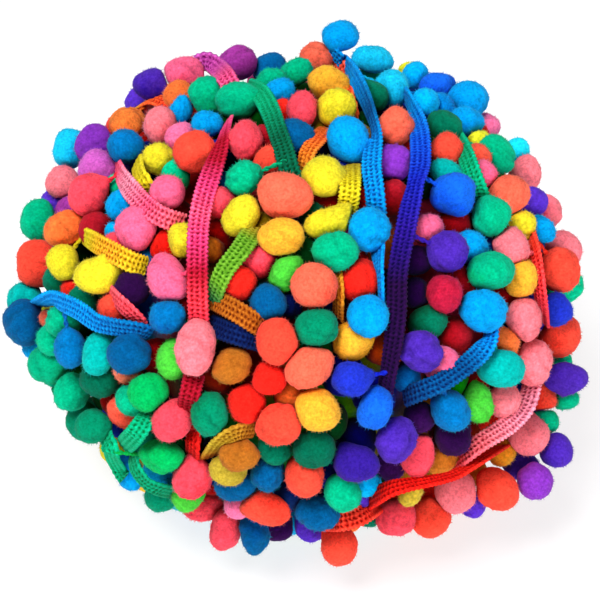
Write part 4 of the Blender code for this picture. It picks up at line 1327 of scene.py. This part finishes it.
def tuft_yarn():
    """Trimmed acrylic yarn pompom: cut pile, with every strand's end frayed open.

    It looks velvety: matt, mottled at the size of the strands, and soft at its edges.
    """
    material, tree, shader = new_material("trimmed_acrylic_yarn_pompom")
    place = add_node(tree, "ShaderNodeTexCoord", {}).outputs["Object"]
    # A strand's filaments are too fine to show, so the pattern stops at the strands
    strands = add_node(
        tree, "ShaderNodeTexNoise", {"Vector": place, "Scale": 1 / STRAND_SIZE, **PATTERN}
    ).outputs["Fac"]
    # Clumps of strands took up the dye unevenly
    clumps = add_node(
        tree, "ShaderNodeTexNoise", {"Vector": place, "Scale": 1 / CLUMP_SIZE, **PATTERN}
    ).outputs["Fac"]
    both = add_node(tree, "ShaderNodeMath", {0: strands, 1: clumps}, operation="ADD").outputs[0]
    mask = add_node(
        tree, "ShaderNodeMapRange",
        {"Value": both, "From Min": 0.95, "From Max": 1.25, "To Min": 0.0, "To Max": 0.35},
    ).outputs["Result"]
    level = add_node(
        tree, "ShaderNodeMapRange",
        {"Value": strands, "From Min": 0.34, "From Max": 0.66, "To Min": 1.18, "To Max": 0.82},
    ).outputs["Result"]
    bump = add_node(tree, "ShaderNodeBump", {"Height": strands, "Strength": 0.45, "Distance": STRAND_BUMP})
    tree.links.new(dyed_colour(tree, mask, level), shader.inputs["Base Color"])
    tree.links.new(bump.outputs["Normal"], shader.inputs["Normal"])
    shader.inputs["Roughness"].default_value = 0.95
    shader.inputs["Specular IOR Level"].default_value = 0.04
    shader.inputs["Sheen Weight"].default_value = 0.03
    shader.inputs["Sheen Roughness"].default_value = 0.5
    # Light goes some way into the pile, which softens the edge of its shade
    shader.inputs["Subsurface Weight"].default_value = 0.4
    shader.inputs["Subsurface Radius"].default_value = (1.0, 1.0, 1.0)
    shader.inputs["Subsurface Scale"].default_value = PILE_GLOW
    return material


def braid_yarn():
    """Warp-knit acrylic braid: chained loops of smooth spun yarn.

    The yarn is rounder and a little shinier than the tufts. The dark eyelets between loops are painted
    shade, which the mesh's colours carry.
    """
    material, tree, shader = new_material("warp_knit_acrylic_braid")
    place = add_node(tree, "ShaderNodeTexCoord", {}).outputs["Object"]
    plies = add_node(
        tree, "ShaderNodeTexNoise", {"Vector": place, "Scale": 1 / STRAND_SIZE, **PATTERN}
    ).outputs["Fac"]
    mask = add_node(
        tree, "ShaderNodeMapRange",
        {"Value": plies, "From Min": 0.45, "From Max": 0.7, "To Min": 0.0, "To Max": 0.7},
    ).outputs["Result"]
    level = add_node(
        tree, "ShaderNodeMapRange",
        {"Value": plies, "From Min": 0.34, "From Max": 0.66, "To Min": 1.2, "To Max": 0.75},
    ).outputs["Result"]
    bump = add_node(tree, "ShaderNodeBump", {"Height": plies, "Strength": 0.4, "Distance": PLY_BUMP})
    tree.links.new(dyed_colour(tree, mask, level), shader.inputs["Base Color"])
    tree.links.new(bump.outputs["Normal"], shader.inputs["Normal"])
    shader.inputs["Roughness"].default_value = 0.8
    shader.inputs["Specular IOR Level"].default_value = 0.06
    shader.inputs["Sheen Weight"].default_value = 0.02
    return material


def core_part(aims, faces, draw):
    """What fills the deepest gaps: a plain form in the dyes that run round the other sides, made dark as
    painted shade.
    """
    points = np.array([on_form(Vector(aim), CORE_DEPTH) for aim in aims])
    points[:, 2] = np.maximum(points[:, 2], TUFT_FLOOR)
    colours = np.array([darker_richer(turn_dyes(Vector(aim), draw)[0], CORE_PAINTED_SHADE) for aim in aims])
    return Part(points, faces, colours, colours, np.full(len(points), CORE_PAINTED_SHADE_TONE), TUFT)


def neighbour_table(pompoms):
    """For each pompom, the middles and radii of those that it may press against."""
    middles = np.array([pompom.middle for pompom in pompoms])
    radii = np.array([pompom.radius for pompom in pompoms])
    table = []
    for number, middle in enumerate(middles):
        distance = np.linalg.norm(middles - middle, axis=1)
        near = (distance < (radii + radii[number]) * NEAR_ENOUGH) & (distance > MM)
        table.append(list(zip(middles[near], radii[near])))
    return table


def make_camera():
    camera = bpy.data.objects.new("camera", bpy.data.cameras.new("camera"))
    camera.location = BALL_MIDDLE + chart_eye()
    camera.rotation_euler = (math.pi / 2 - CHART_RISE, 0, 0)
    camera.data.sensor_width = SENSOR_WIDTH
    camera.data.lens = CAMERA_LENS
    camera.data.shift_x = PICTURE_SHIFT[0] / PICTURE_SIZE
    camera.data.shift_y = PICTURE_SHIFT[1] / PICTURE_SIZE
    camera.data.clip_start = CAMERA_NEAR
    bpy.context.scene.collection.objects.link(camera)
    bpy.context.scene.camera = camera


def backlit_table():
    """White acrylic sheet lit from below: matt, pale and even, with a faint shade under the ball."""
    material, _, shader = new_material("backlit_white_acrylic_table")
    shader.inputs["Base Color"].default_value = (TABLE_SHADE, TABLE_SHADE, TABLE_SHADE, 1)
    shader.inputs["Roughness"].default_value = 0.9
    shader.inputs["Specular IOR Level"].default_value = 0.1
    shader.inputs["Emission Color"].default_value = (*WHITE, 1)
    shader.inputs["Emission Strength"].default_value = TABLE_GLOW
    return material


def make_floor():
    bm = bmesh.new()
    bmesh.ops.create_grid(bm, x_segments=FLOOR_SQUARES, y_segments=FLOOR_SQUARES, size=FLOOR_REACH)
    mesh = bpy.data.meshes.new("floor")
    bm.to_mesh(mesh)
    bm.free()
    mesh.materials.append(backlit_table())
    floor = bpy.data.objects.new("floor", mesh)
    bpy.context.scene.collection.objects.link(floor)


def make_lights():
    """Soft light all round, and two large lamps that face the ball: overhead and low in front."""
    world = bpy.data.worlds.new("studio")
    world.use_nodes = True
    background = world.node_tree.nodes["Background"]
    background.inputs["Color"].default_value = (*WHITE, 1)
    background.inputs["Strength"].default_value = WORLD_LIGHT
    bpy.context.scene.world = world
    for row in LIGHTS:
        light = bpy.data.lights.new(row.name, "AREA")
        light.shape = "DISK"
        light.size = row.size
        light.energy = row.power
        light.color = WHITE
        lamp = bpy.data.objects.new(row.name, light)
        lamp.location = row.place
        lamp.rotation_euler = (BALL_MIDDLE - Vector(row.place)).to_track_quat("-Z", "Y").to_euler()
        bpy.context.scene.collection.objects.link(lamp)
    bpy.context.scene.view_settings.view_transform = "Standard"


def hang_pompoms(lengths, draw):
    """All of the ball's pompoms: those that the tables place, the other sides' and the inner turns'."""
    pompoms = placed_by_hand(lengths, draw)
    middles = [pompom.middle for pompom in pompoms]
    for middle in other_turns(middles, [sections for _, sections in lengths]):
        top, under = turn_dyes(outward(middle), draw)
        # Painted shade darkens the underside's dye, the next one of its turn
        under = darker_richer(under, OUTER_UNDER_PAINTED_SHADE)
        radius = POMPOM_RADIUS * draw.uniform(*OUTER_SIZES)
        stretch, axis = draw.uniform(*OUTER_STRETCHES), Vector(draw.normal(size=3)).normalized()
        pompoms.append(Pompom(middle, radius, stretch, axis, top, under, None, SIDE_CUTS, "other_turns"))
    outer = list(pompoms)
    for direction in golden_directions(INNER_COUNT):
        middle = on_form(direction, INNER_DEPTH)
        above = min(outer, key=lambda pompom: (pompom.middle - middle).length)
        if (above.middle - middle).length > INNER_LEAST:
            # Painted shade: an inner pompom takes the dyes of the outer one above it, made darker and more
            # saturated
            top, under = darker_richer(above.top, INNER_PAINTED_SHADE), darker_richer(above.under, INNER_UNDER_PAINTED_SHADE)
            pompoms.append(
                Pompom(middle, POMPOM_RADIUS, 1.0, direction, top, under, None, DEEP_CUTS, "inner_turns")
            )
    return pompoms


def make_trim():
    """Every length and turn of the trim, laid out, shaped and built into pieces."""
    draw = np.random.default_rng(SEED)
    balls = {cuts: ball_mesh(cuts) for cuts in (FINE_CUTS, SIDE_CUTS, DEEP_CUTS)}
    materials = [tuft_yarn(), braid_yarn()]
    lengths = lay_lengths()
    pompoms = hang_pompoms(lengths, draw)
    shaped = {}
    for pompom, neighbours in zip(pompoms, neighbour_table(pompoms)):
        middle = np.array(pompom.middle)
        tuft = pompom_part(pompom, neighbours, balls, draw)
        parts = [tuft, fuzz_part(tuft, middle, FIBRES[pompom.cuts], draw)]
        if pompom.stem is not None:
            colour = darker_richer(pompom.top, STEM_DEEPER)
            parts += [strand_part(np.array(pompom.stem), middle, colour, phase) for phase in (0.0, math.pi)]
        shaped.setdefault(pompom.group, []).append(parts)
    for row, sections in lengths:
        parts = [braid_part(sections, row.dyes.split(), STITCH_ROWS, draw)]
        parts += sum(shaped.get(row.name, []), [])
        build_piece("trim_" + row.name, parts, materials, ["length_" + row.name])
    for group, count in PIECES.items():
        for number in range(count):
            parts = sum(shaped[group][number::count], [])
            build_piece(f"{group}_{number + 1}", parts, materials, ["wound_ball"])
    glimpses = []
    for row in GLIMPSES:
        sections = chart_tape(row.tape, row.depth)
        glimpses.append(braid_part(sections, row.dyes.split(), GLIMPSE_ROWS, draw))
    build_piece("braid_between_the_turns", glimpses, materials, ["wound_ball"])
    build_piece("wound_core", [core_part(*balls[FINE_CUTS], draw)], materials, ["wound_ball"])


make_camera()
make_floor()
make_lights()
make_trim()
